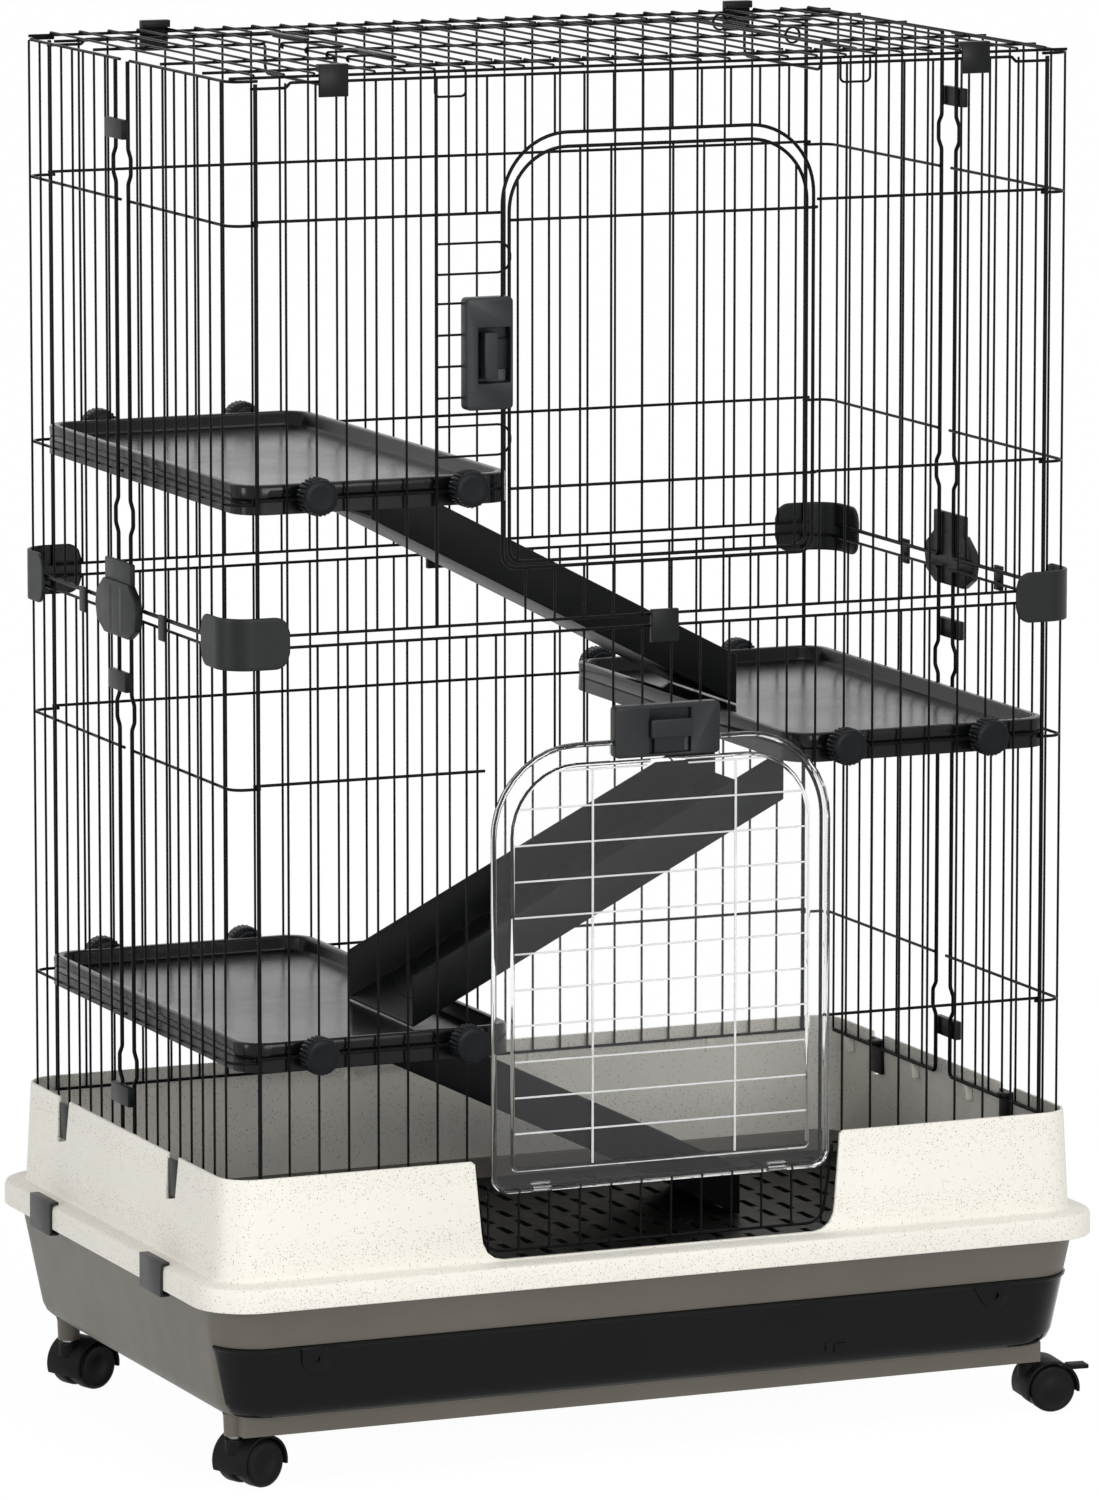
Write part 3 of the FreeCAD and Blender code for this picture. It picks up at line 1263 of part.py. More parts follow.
def castor_hood():
    """The hood over a pair of wheels. The stem axis is at the origin, the wheels trail along +X."""
    trail = S.castor_trail
    axle = Vector(trail, 0, S.wheel_size / 2)
    across = Vector(0, 1, 0)
    cover_half = S.wheel_span / 2
    start = axle - across * cover_half
    cover = Part.makeCylinder(S.hood_size / 2, 2 * cover_half, start, across)
    cover = cover.cut(Part.makeCylinder(S.hood_size / 2 - S.hood_wall, 2 * cover_half, start, across))
    stem_side = box(trail - S.hood_size, trail, -cover_half, cover_half,
                    S.hood_stem_side_z, S.hood_size * 2)
    far_side = box(trail, trail + S.hood_size, -cover_half, cover_half,
                   S.hood_far_side_z, S.hood_size * 2)
    cover = cover.common(stem_side.fuse(far_side))
    web_start = axle - across * (S.hood_web / 2)
    web = Part.makeCylinder(S.hood_web_size / 2, S.hood_web, web_start, across)
    spine_low_z = S.wheel_size / 2
    spine = box(0, trail, -S.hood_web / 2, S.hood_web / 2, spine_low_z, S.collar_head_z)
    collar = Part.makeCylinder(S.collar_size / 2, S.collar_head_z - S.collar_foot_z,
                               Vector(0, 0, S.collar_foot_z))
    tyre_room = Part.makeCylinder(S.wheel_size / 2 + S.hood_wall / 2, 2 * cover_half, start, across)
    tyre_room = tyre_room.cut(Part.makeCylinder(S.wheel_size, S.hood_web, web_start, across))
    body = cover.fuse([web, spine, collar]).cut(tyre_room)
    bore = Part.makeCylinder(S.axle_size / 2 + S.running_play, S.hood_web, web_start, across)
    pin_hole = Part.makeCylinder(S.stem_pin_size / 2 + S.running_play,
                                 S.collar_head_z - S.collar_foot_z, Vector(0, 0, S.collar_foot_z))
    stem_room = Part.makeCylinder(S.collar_size / 2, S.hood_size, Vector(0, 0, S.collar_head_z))
    return body.cut(bore).cut(pin_hole).cut(stem_room).removeSplitter()


def castor_stem(x, y):
    """A fixed stem in its socket with the pin that the hood swivels on."""
    pin_length = S.socket_foot_z - S.collar_foot_z - S.seat_play
    pin = Part.makeCylinder(S.stem_pin_size / 2, pin_length,
                            Vector(x, y, S.collar_foot_z + S.seat_play))
    stem = Part.makeCylinder(S.stem_size / 2, S.tub_foot_z - S.collar_head_z - 2 * S.seat_play,
                             Vector(x, y, S.collar_head_z + S.seat_play))
    return pin.fuse(stem).removeSplitter()


def brake_lever():
    """The foot lever behind a hood, in the hood's own position, with the barrel it tips on."""
    mouth = math.radians(LEVER_DEGREES)
    start = S.castor_trail + S.hood_size / 2 * math.cos(mouth) + S.lever_gap
    high = S.wheel_size / 2 + S.hood_size / 2 * math.sin(mouth) + S.lever_lift
    radius = S.lever_thick / 2
    blade = box(start + radius, start + S.lever_length, -S.lever_width / 2, S.lever_width / 2,
                high - S.lever_thick, high)
    tip = [edge for edge in blade.Edges if edge.BoundBox.XMin > start + S.lever_thick]
    barrel = Part.makeCylinder(radius, S.lever_width,
                               Vector(start + radius, -S.lever_width / 2, high - radius),
                               Vector(0, 1, 0))
    return blade.makeFillet(radius / 2, tip).fuse(barrel).removeSplitter()


CASTOR_TURNS = {"front_left": 20.6, "front_right": -6.9, "back_left": 20.6, "back_right": 20.6}


def place_castors():
    stems = []
    hood = castor_hood()
    lever = brake_lever()
    for name, (x, y) in castor_places().items():
        spot = Placement(Vector(x, y, 0), Rotation(Vector(0, 0, 1), CASTOR_TURNS[name]))
        stems.append(castor_stem(x, y))
        add_part("castor_hood_" + name, [hood], spot)
        wheels = wheel_body("wheels_" + name)
        wheels.Label = "castor_wheels_" + name
        across = Rotation(Vector(0, 0, 1), 90)
        inner = Placement(Vector(S.castor_trail, 0, S.wheel_size / 2), across)
        wheels.Placement = spot.multiply(inner)
        parts.append(wheels)
        if name == "front_right":
            add_part("castor_brake_lever", [lever], spot)
    add_part("castor_stems", stems)


# Platforms: a moulded tray with a hollow rim

def platform(label, outer_x, inner_x, rail_z):
    body = doc.addObject("PartDesign::Body", label)
    head = "(Sizes.%s + Sizes.tray_head_above_rail)" % rail_z
    half_y = "(Sizes.rail_plane_y - Sizes.rail_gauge / 2 - Sizes.seat_play)"

    def tray_sketch(name, inset):
        sketch = new_sketch(body, label + name, "XY_Plane")
        sign = "-" if outer_x.startswith("-") else ""
        low = "%s + %s" % (outer_x if sign else inner_x, inset)
        high = "%s - %s" % (inner_x if sign else outer_x, inset)
        edge = "%s - %s" % (half_y, inset)
        add_polygon(sketch, [(low, "-(%s)" % edge), (high, "-(%s)" % edge), (high, edge), (low, edge)])
        return sketch

    pad = body.newObject("PartDesign::Pad", label + "_block")
    pad.Profile = tray_sketch("_outline", "0")
    pad.setExpression("Length", "Sizes.tray_height")
    doc.recompute()
    upright_edges = ["Edge%d" % (number + 1) for number, edge in enumerate(pad.Shape.Edges)
                     if edge.BoundBox.ZLength > S.tray_height / 2]
    rounding = body.newObject("PartDesign::Fillet", label + "_corners")
    rounding.Base = (pad, upright_edges)
    rounding.setExpression("Radius", "Sizes.tray_corner")
    doc.recompute()
    bottom = tray_sketch("_underside", "Sizes.tray_wall")
    bottom.setExpression("AttachmentOffset.Base.z", "0 mm")
    hollow = body.newObject("PartDesign::Pocket", label + "_hollow")
    hollow.Profile = bottom
    hollow.Reversed = True
    hollow.setExpression("Length", "Sizes.tray_height - Sizes.tray_recess - Sizes.tray_wall")
    top = tray_sketch("_top", "Sizes.tray_rim")
    top.setExpression("AttachmentOffset.Base.z", "Sizes.tray_height")
    recess = body.newObject("PartDesign::Pocket", label + "_recess")
    recess.Profile = top
    recess.setExpression("Length", "Sizes.tray_recess")
    doc.recompute()
    body.setExpression("Placement.Base.z", "%s - Sizes.tray_height" % head)
    body.Label = label
    parts.append(body)
    return body


# Hand screws: a grooved knob outside the panel and a screw through to the tray's wall

def knob_body():
    body = doc.addObject("PartDesign::Body", "hand_screw")
    head = new_sketch(body, "hand_screw_head", "XZ_Plane")
    add_circle(head, Vector(0, 0, 0), "Sizes.knob_size / 2")
    pad = body.newObject("PartDesign::Pad", "hand_screw_knob")
    pad.Profile = head
    pad.setExpression("Length", "Sizes.knob_length")
    doc.recompute()
    flute = new_sketch(body, "hand_screw_flute", "XZ_Plane")
    index = add_circle(flute, Vector(0, S.knob_size / 2, 0), "Sizes.knob_groove / 2")
    rise = flute.addConstraint(Sketcher.Constraint("DistanceY", -1, 1, index, 3, S.knob_size / 2))
    flute.setExpression("Constraints[%d]" % rise, "Sizes.knob_size / 2 + Sizes.knob_groove / 4")
    flute.addConstraint(Sketcher.Constraint("DistanceX", -1, 1, index, 3, 0))
    groove = body.newObject("PartDesign::Pocket", "hand_screw_groove")
    groove.Profile = flute
    groove.Reversed = True
    groove.setExpression("Length", "Sizes.knob_length * %s" % KNOB_GROOVE_SHARE)
    doc.recompute()
    ring = body.newObject("PartDesign::PolarPattern", "hand_screw_grooves")
    ring.Originals = [groove]
    ring.Axis = (head, ["N_Axis"])
    ring.Angle = 360
    ring.Occurrences = KNOB_GROOVES
    body.Tip = ring
    doc.recompute()
    shank = new_sketch(body, "hand_screw_thread", "XZ_Plane")
    add_circle(shank, Vector(0, 0, 0), "Sizes.screw_size / 2")
    rod = body.newObject("PartDesign::Pad", "hand_screw_shank")
    rod.Profile = shank
    rod.Reversed = True
    rod.setExpression("Length", "Sizes.rail_gauge + Sizes.bar_gauge + Sizes.seat_play + Sizes.weld_play")
    doc.recompute()
    return body


def hand_screws(label, master, rail_z, bar_shares):
    """Four screws of one platform: a front pair and a back pair, just above the rail."""
    z = rail_z + (S.rail_gauge + S.screw_size) / 2 + S.weld_play
    seat = BAR_Y + S.bar_gauge / 2 + S.weld_play
    screws = []
    for side, shares in zip((-1, 1), bar_shares):
        for share in shares:
            shape = master.Shape.copy()
            turn = 0 if side < 0 else 180
            shape.Placement = Placement(Vector(bar_place(share), side * seat, z),
                                        Rotation(Vector(0, 0, 1), turn))
            screws.append(shape)
    add_part(label, screws)


# Ramps: a trough with upright sides

def ramp(high_x, high_z, low_x, low_z, middle_y):
    """A trough from under a platform's edge down to the next floor, both ends cut upright."""
    wall = S.ramp_wall
    half = S.ramp_width / 2
    sides = [(high_x, high_z - S.ramp_side), (low_x, low_z), (low_x, low_z + S.ramp_side),
             (high_x, high_z)]
    block = side_block(sides, middle_y - half, middle_y + half)
    run = low_x - high_x
    over = wall if run > 0 else -wall
    slope = (low_z - high_z + S.ramp_side) / run
    inner = [(high_x - over, high_z - S.ramp_side + wall - slope * over),
             (low_x + over, low_z + wall + slope * over),
             (low_x + over, low_z + S.ramp_side + wall + slope * over),
             (high_x - over, high_z + wall - slope * over)]
    trough = side_block(inner, middle_y - half + wall, middle_y + half - wall)
    return block.cut(trough).removeSplitter()


def place_ramps():
    drop = S.tray_height + S.seat_play
    tray_inner = S.tray_outer_x - S.tray_width
    heads = {name: z + S.tray_head_above_rail for name, z in
             (("upper", S.shelf_rail_z), ("middle", S.mid_rail_z), ("lower", S.low_rail_z))}
    floors = {name: z - S.tray_recess + S.seat_play for name, z in heads.items()}
    start = tray_inner + S.ramp_tuck
    foot = S.ramp_run + S.ramp_tuck - start
    add_part("ramp_upper", [ramp(-start, heads["upper"] - drop, foot, floors["middle"],
                                 S.upper_ramp_y)])
    add_part("ramp_middle", [ramp(start, heads["middle"] - drop, -foot, floors["lower"],
                                  S.lower_ramp_y)])
    add_part("ramp_lower", [ramp(-start, heads["lower"] - drop, foot, S.floor_z + S.seat_play,
                                 S.floor_ramp_y)])


# Assembly: panels

add_part("front_panel_upper", front_panel_upper())
add_part("upper_door_frame", [gate_loop()])
add_part("upper_door", upper_door())
add_part("upper_latch_housing", [upper_latch_housing()])
add_part("upper_latch_bolt", [upper_latch_bolt()])
add_part("front_panel_lower", front_panel_lower())
add_part("clean_out_mesh", clean_out_mesh())
add_part("lower_door_frame", lower_door_frame())
add_part("lower_hinge_wire", lower_hinge_wire())
add_part("lower_door", lower_door())
add_part("lower_latch_housing", [lower_latch_housing()])
add_part("lower_latch_bolt", [lower_latch_bolt()])
add_part("back_panel_upper", back_panel(S.tier_foot_z, S.top_rail_z,
         (S.top_rail_z, S.high_rail_z, S.shelf_rail_z, S.tier_foot_z)))
add_part("back_panel_lower", back_panel(S.foot_rail_z, S.tier_head_z,
         (S.tier_head_z, S.mid_rail_z, S.low_rail_z, S.foot_rail_z)))

UPPER_HOOPS = (S.roof_seat_z, S.high_rail_z - HOOP_DROP, S.shelf_rail_z - HOOP_DROP)
LOWER_HOOPS = (S.tier_head_z - HOOP_DROP, S.mid_rail_z - HOOP_DROP, S.low_rail_z - HOOP_DROP)
for side, side_name in ((-1, "left"), (1, "right")):
    for half, half_name in ((-1, "front"), (1, "rear")):
        add_part("%s_panel_upper_%s" % (side_name, half_name),
                 side_half_panel(side, half, S.tier_foot_z - HOOP_DROP, S.roof_seat_z, UPPER_HOOPS,
                                 (S.high_kink_z, S.shelf_kink_z)))
        add_part("%s_panel_lower_%s" % (side_name, half_name),
                 side_half_panel(side, half, S.foot_rail_z, S.tier_head_z - HOOP_DROP, LOWER_HOOPS,
                                 (S.mid_kink_z, S.low_kink_z)))

# Assembly: clips

clip = corner_clip()
back_clip = clip.mirror(Vector(0, 0, 0), Vector(0, 1, 0))
add_part("corner_clips", [clip, mirrored_x(clip), back_clip, mirrored_x(back_clip)])
add_part("side_joint_clips", [side_joint_clip(-1), side_joint_clip(1)])
add_part("seam_clips", [seam_clip(side, z) for side in (-1, 1)
                        for z in (S.seam_clip_high_z, S.seam_clip_mid_z, S.seam_clip_low_z)])
add_part("rail_clips", rail_clips())
add_part("roof_clips", roof_clips())

# Assembly: roof

add_part("roof_panel", roof_panel())
add_part("roof_loops", roof_loops())
add_part("roof_hatch", roof_hatch())
add_part("hatch_sleeves", hatch_sleeves())
add_part("hatch_rings", hatch_rings())
add_part("roof_catch_rear", [loop_catch(S.rear_catch_y, S.rear_catch_width, S.rear_catch_reach,
                                        REAR_CATCH_DEGREES)])
add_part("roof_catch_front", [loop_catch(S.front_catch_y, S.front_catch_width,
                                         S.front_catch_reach, FRONT_CATCH_DEGREES)])

# Assembly: base

add_part("urine_guard", [urine_guard()])
add_part("guard_hold_clips", guard_hold_clips())
add_part("flange_clips", flange_clips())
add_part("base_tub", [base_tub()])
add_part("drawer_tray", [drawer_tray()])
add_part("floor_grid", [floor_grid()])
place_castors()

# Assembly: platforms and ramps

platform("platform_upper_left", "-Sizes.tray_outer_x", "Sizes.tray_width - Sizes.tray_outer_x",
         "shelf_rail_z")
platform("platform_middle_right", "Sizes.tray_outer_x", "Sizes.tray_outer_x - Sizes.tray_width",
         "mid_rail_z")
platform("platform_lower_left", "-Sizes.tray_outer_x", "Sizes.tray_width - Sizes.tray_outer_x",
         "low_rail_z")
screw = knob_body()
hand_screws("hand_screws_upper", screw, S.shelf_rail_z, LEFT_KNOB_BAR_SHARES)
hand_screws("hand_screws_middle", screw, S.mid_rail_z, RIGHT_KNOB_BAR_SHARES)
hand_screws("hand_screws_lower", screw, S.low_rail_z, LEFT_KNOB_BAR_SHARES)
place_ramps()

# Checks, then one file for each sub-part

doc.recompute()
for item in doc.Objects:
    if "Invalid" in item.State or "Error" in item.State:
        raise RuntimeError("%s failed: %s" % (item.Label, item.State))
for item in parts:
    if item.Shape.isNull() or not item.Shape.isValid() or not item.Shape.Solids:
        raise RuntimeError("%s has no valid solid" % item.Label)
os.makedirs("parts", exist_ok=True)
for item in parts:
    item.Shape.exportStep(os.path.join("parts", item.Label + ".step"))
    print("%-28s %3d solids %12.1f mm3" % (item.Label, len(item.Shape.Solids), item.Shape.Volume))
print("nodes", len(parts))
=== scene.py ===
import math
import bmesh
import bpy
from mathutils import Matrix, Vector


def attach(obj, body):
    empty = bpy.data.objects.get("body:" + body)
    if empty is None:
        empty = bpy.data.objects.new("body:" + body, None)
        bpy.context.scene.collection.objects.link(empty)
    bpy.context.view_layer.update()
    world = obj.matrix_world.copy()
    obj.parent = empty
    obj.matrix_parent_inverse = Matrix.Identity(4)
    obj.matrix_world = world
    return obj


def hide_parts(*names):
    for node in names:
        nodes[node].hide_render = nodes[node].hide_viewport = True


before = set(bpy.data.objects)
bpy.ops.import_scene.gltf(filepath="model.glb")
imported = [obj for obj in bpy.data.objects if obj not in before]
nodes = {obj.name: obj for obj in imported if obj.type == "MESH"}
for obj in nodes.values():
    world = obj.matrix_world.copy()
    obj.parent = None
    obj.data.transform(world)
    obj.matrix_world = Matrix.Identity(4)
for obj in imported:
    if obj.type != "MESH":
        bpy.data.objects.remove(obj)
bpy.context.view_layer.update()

# View of the cage
# A long lens from well to the left and a little above, so that the front, the left side and
# the roof all show.

SENSOR_WIDTH = 36.0
FOCAL_PICTURE_WIDTHS = 9313.2 / 1099
VIEW_PLACE = (-3.0258, -7.0695, 1.7695)
DOWNWARD, LEFTWARD = 8.88, 23.17

view = bpy.data.cameras.new("view")
view.sensor_fit = "HORIZONTAL"
view.sensor_width = SENSOR_WIDTH
view.lens = SENSOR_WIDTH * FOCAL_PICTURE_WIDTHS
view.shift_x = 0.0059
view.shift_y = -0.0155
view.clip_end = 60.0
camera = bpy.data.objects.new("camera", view)
camera.location = VIEW_PLACE
camera.rotation_euler = (math.radians(90 - DOWNWARD), 0, math.radians(-LEFTWARD))
bpy.context.scene.collection.objects.link(camera)
bpy.context.scene.camera = camera


# Studio
# A white floor under a wide soft lamp in front, weaker ones on the left and high in front, and an
# even sky that gloss and clear plastic show as the white of the backdrop.

class Value:
    """A shader socket with operators, each of which adds its node."""

    def __init__(self, tree, socket):
        self.tree = tree
        self.socket = socket

    def node(self, kind, settings, inputs, output=0):
        made = self.tree.nodes.new(kind)
        for name, setting in settings.items():
            setattr(made, name, setting)
        for name, given in inputs.items():
            if isinstance(given, Value):
                self.tree.links.new(given.socket, made.inputs[name])
            else:
                made.inputs[name].default_value = given
        return Value(self.tree, made.outputs[output])

    def math(self, operation, *terms):
        return self.node("ShaderNodeMath", {"operation": operation},
                         {number: term for number, term in enumerate((self, *terms))})

    def __add__(self, other):
        return self.math("ADD", other)

    def __radd__(self, other):
        return self.math("ADD", other)

    def __sub__(self, other):
        return self.math("SUBTRACT", other)

    def __rsub__(self, other):
        return (-1.0 * self).math("ADD", other)

    def __mul__(self, other):
        return self.math("MULTIPLY", other)

    def __rmul__(self, other):
        return self.math("MULTIPLY", other)

    def __gt__(self, other):
        return self.math("GREATER_THAN", other)

    def __lt__(self, other):
        return self.math("LESS_THAN", other)

    def blend(self, low, high):
        """A colour between two, by this value."""
        return self.node("ShaderNodeMix", {"data_type": "RGBA"}, {0: self, 6: low, 7: high}, 2)

    def noise(self, scale, detail=2.0):
        return self.node("ShaderNodeTexNoise", {}, {"Vector": self, "Scale": scale, "Detail": detail})

    def cells(self, scale, output):
        """A cell pattern: the distance to a cell's middle, or with 1 the cell's random colour."""
        return self.node("ShaderNodeTexVoronoi", {}, {"Vector": self, "Scale": scale}, output)

    def parts(self):
        """The x, y and z of a vector."""
        made = self.tree.nodes.new("ShaderNodeSeparateXYZ")
        self.tree.links.new(self.socket, made.inputs[0])
        return [Value(self.tree, socket) for socket in made.outputs]


def finish_of(name, **plain):
    """A new material, its Principled shader with plain sockets set, and its object coordinates."""
    material = bpy.data.materials.new(name)
    material.use_nodes = True
    tree = material.node_tree
    shader = tree.nodes["Principled BSDF"]
    for socket, setting in plain.items():
        shader.inputs[socket.replace("_", " ")].default_value = setting
    place = Value(tree, tree.nodes.new("ShaderNodeTexCoord").outputs["Object"])
    return material, shader, place


def feed(shader, **given):
    """Links values to the shader's sockets, by name."""
    for socket, value in given.items():
        value.tree.links.new(value.socket, shader.inputs[socket.replace("_", " ")])


def bumped(height, strength, distance):
    return height.node("ShaderNodeBump", {}, {"Height": height, "Strength": strength,
                                              "Distance": distance})


def lamp(name, place, target, size, power):
    light = bpy.data.lights.new(name, "AREA")
    light.shape = "RECTANGLE"
    light.size, light.size_y = size
    light.energy = power
    holder = bpy.data.objects.new(name, light)
    holder.location = place
    holder.rotation_euler = (Vector(target) - Vector(place)).to_track_quat("-Z", "Y").to_euler()
    bpy.context.scene.collection.objects.link(holder)


lamp("front", (0.2, -4.4, 1.2), (0, 0, 0.45), (2.4, 0.8), 60)
lamp("left", (-4.2, -0.8, 1.1), (0, 0, 0.5), (1.2, 0.9), 38)
lamp("top", (0.1, -2.0, 3.3), (0, 0, 0.4), (2.0, 1.6), 32)

SKY_HELD_FROM_MATT = 0.5
sky = bpy.data.worlds.new("sky")
sky.use_nodes = True
bpy.context.scene.world = sky
sky_tree = sky.node_tree
ray = sky_tree.nodes.new("ShaderNodeLightPath")
sky_tree.nodes["Background"].inputs["Color"].default_value = (1, 1, 1, 1)
soft = Value(sky_tree, ray.outputs["Is Diffuse Ray"])
sky_tree.links.new((1.0 - SKY_HELD_FROM_MATT * soft).socket,
                   sky_tree.nodes["Background"].inputs["Strength"])

FLOOR_REACH = 40
GLOW_SHARE, GLOW_STRENGTH = 0.94, 1.03
sheet = bmesh.new()
bmesh.ops.create_grid(sheet, x_segments=1, y_segments=1, size=FLOOR_REACH)
sheet_mesh = bpy.data.meshes.new("studio_floor")
sheet.to_mesh(sheet_mesh)
studio_floor = bpy.data.objects.new("studio_floor", sheet_mesh)
bpy.context.scene.collection.objects.link(studio_floor)
floor_paper, floor_shader = finish_of("floor_paper", Base_Color=(0.86, 0.86, 0.86, 1), Roughness=0.9)[:2]
floor_tree = floor_paper.node_tree
ray = floor_tree.nodes.new("ShaderNodeLightPath")
glow = floor_tree.nodes.new("ShaderNodeEmission")
mixed = floor_tree.nodes.new("ShaderNodeMixShader")
camera_ray, clear_ray, gloss_ray = [Value(floor_tree, ray.outputs[kind]) for kind in (
    "Is Camera Ray", "Is Transmission Ray", "Is Glossy Ray")]
shown = (camera_ray + clear_ray + gloss_ray).math("MINIMUM", 1.0)
floor_tree.links.new((GLOW_SHARE * shown).socket, mixed.inputs[0])
floor_tree.links.new(floor_shader.outputs[0], mixed.inputs[1])
floor_tree.links.new(glow.outputs[0], mixed.inputs[2])
floor_tree.links.new(mixed.outputs[0], floor_tree.nodes["Material Output"].inputs["Surface"])
glow.inputs["Strength"].default_value = GLOW_STRENGTH
sheet_mesh.materials.append(floor_paper)
bpy.context.scene.view_settings.view_transform = "Standard"


# Wire
# Round mild steel wire, spot welded and dipped in a glossy black powder coat.
# The CAD wires keep their shape and take this finish.

WIRE_PIECES = ["front_panel_upper", "upper_door_frame", "upper_door", "front_panel_lower",
               "clean_out_mesh", "lower_door_frame", "lower_hinge_wire", "back_panel_upper",
               "back_panel_lower", "roof_panel", "roof_loops", "roof_hatch", "hatch_rings",
               "roof_catch_rear", "roof_catch_front"]
WIRE_PIECES += ["%s_panel_%s_%s" % (side, tier, half) for side in ("left", "right")
                for tier in ("upper", "lower") for half in ("front", "rear")]

wire_coat, shader, place = finish_of("wire_coat", Specular_IOR_Level=0.06)
grain = place.noise(220.0, 3.0)
feed(shader, Base_Color=grain.blend((0.003, 0.003, 0.0033, 1), (0.007, 0.007, 0.0075, 1)),
     Roughness=0.2 + 0.16 * place.noise(60.0), Normal=bumped(grain, 0.05, 0.0002))


def dress(name, material):
    """Gives a CAD node one finish all over."""
    mesh = nodes[name].data
    for slot in range(len(mesh.materials)):
        mesh.materials[slot] = material
    if not mesh.materials:
        mesh.materials.append(material)


for name in WIRE_PIECES:
    dress(name, wire_coat)


# Edges and joins of the moulded pieces
# Injection moulded plastic has a small round on every edge. Pieces that keep their CAD form are
# merged copies with such rounds, and the others are built below in millimetres.

def new_piece(name, form, material, body, replaced=()):
    """Turns a finished bmesh into an object that rides with a body of the frame."""
    mesh = bpy.data.meshes.new(name)
    form.to_mesh(mesh)
    form.free()
    mesh.materials.append(material)
    piece = bpy.data.objects.new(name, mesh)
    bpy.context.scene.collection.objects.link(piece)
    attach(piece, body)
    if replaced:
        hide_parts(*replaced)
    return piece


def shade_smooth(form, degrees=35):
    """Smooth faces with sharp edges only at real corners."""
    for face in form.faces:
        face.smooth = True
    for edge in form.edges:
        edge.smooth = len(edge.link_faces) == 2 and edge.calc_face_angle(0) < math.radians(degrees)


def round_edges(form, edges, width, segments, clamp=False):
    bmesh.ops.bevel(form, geom=edges, offset=width, segments=segments, profile=0.5,
                    affect="EDGES", clamp_overlap=clamp, material=-1)


def round_corners(form, width, segments, merge, flat, corner):
    """Merges a form's doubles and rounds its sharp corners. The last two are degrees."""
    bmesh.ops.remove_doubles(form, verts=form.verts, dist=merge)
    bmesh.ops.dissolve_limit(form, angle_limit=math.radians(flat), verts=form.verts, edges=form.edges)
    corners = [edge for edge in form.edges
               if edge.is_manifold and edge.calc_face_angle(0) > math.radians(corner)]
    round_edges(form, corners, width, segments, clamp=True)


def rounded_copy(node, width, segments):
    """A merged copy of a CAD piece's mesh with its corners rounded."""
    form = bmesh.new()
    form.from_mesh(nodes[node].data)
    round_corners(form, width, segments, merge=1e-6, flat=1.0, corner=32)
    return form


def softened(node, material, body, width, segments=2):
    """A CAD piece in its own form with rounded corners."""
    form = rounded_copy(node, width, segments)
    shade_smooth(form)
    new_piece(node + "_moulding", form, material, body, (node,))


def joined(form, part):
    """Moves a finished part into a form."""
    mesh = bpy.data.meshes.new("part")
    part.to_mesh(mesh)
    part.free()
    form.from_mesh(mesh)
    bpy.data.meshes.remove(mesh)


def millimetres(form):
    """Sizes of the pieces below are in millimetres, the scene is in metres."""
    bmesh.ops.scale(form, vec=(0.001, 0.001, 0.001), verts=form.verts)


# Splash guard
# A cream plastic collar with dark specks and a wide flange that caps the tub. Its front is cut
# out under the lower door, its sides are slotted for the spring clips and carry small nubs.

def circle_in_order(form, segments):
    """A circle's vertices in the order of their angles."""
    made = bmesh.ops.create_circle(form, cap_ends=False, segments=segments, radius=1.0)["verts"]
    return sorted(made, key=lambda v: math.atan2(v.co.y, v.co.x) % math.tau)


def ring_of(form, half_x, half_y, corner, z, per_corner=8, centre=(0, 0)):
    """A level ring of vertices on a rounded rectangle, made from a circle by moving its quarters."""
    ordered = circle_in_order(form, 4 * per_corner + 4)
    for number, vert in enumerate(ordered):
        quarter, step = divmod(number, per_corner + 1)
        turn = math.pi / 2 * (quarter + step / per_corner)
        side_x = 1 if quarter in (0, 3) else -1
        side_y = 1 if quarter in (0, 1) else -1
        vert.co = (centre[0] + side_x * (half_x - corner) + corner * math.cos(turn),
                   centre[1] + side_y * (half_y - corner) + corner * math.sin(turn), z)
    return ordered


def bridged(form, rings, closed=False):
    """A skin between each ring and the next."""
    edges = [list(dict.fromkeys(edge for vert in loop for edge in vert.link_edges)) for loop in rings]
    pairs = list(zip(edges, edges[1:]))
    if closed:
        pairs.append((edges[-1], edges[0]))
    for first, second in pairs:
        bmesh.ops.bridge_loops(form, edges=first + second)


def skinned(form, rows, closed=False, cap_first=False, cap_last=False, ring=ring_of, **ring_options):
    """Rings with a skin between each and the next. A row holds what its ring takes, for a plain
    ring the half width, half depth, corner radius and height."""
    rings = [ring(form, *row, **ring_options) for row in rows]
    bridged(form, rings, closed)
    if cap_first:
        form.faces.new(rings[0])
    if cap_last:
        form.faces.new(rings[-1])
    bmesh.ops.recalc_face_normals(form, faces=form.faces)


def swept(form, outline, way):
    """A slab: a flat outline carried along a way."""
    face = form.faces.new([form.verts.new(point) for point in outline])
    made = bmesh.ops.extrude_face_region(form, geom=[face])["geom"]
    bmesh.ops.translate(form, vec=way, verts=[v for v in made if isinstance(v, bmesh.types.BMVert)])


def block(form, low, high):
    """An upright block between two corners."""
    made = bmesh.ops.create_cube(form, size=1.0)["verts"]
    size = [b - a for a, b in zip(low, high)]
    bmesh.ops.scale(form, vec=size, verts=made)
    bmesh.ops.translate(form, vec=[(a + b) / 2 for a, b in zip(low, high)], verts=made)
    return made


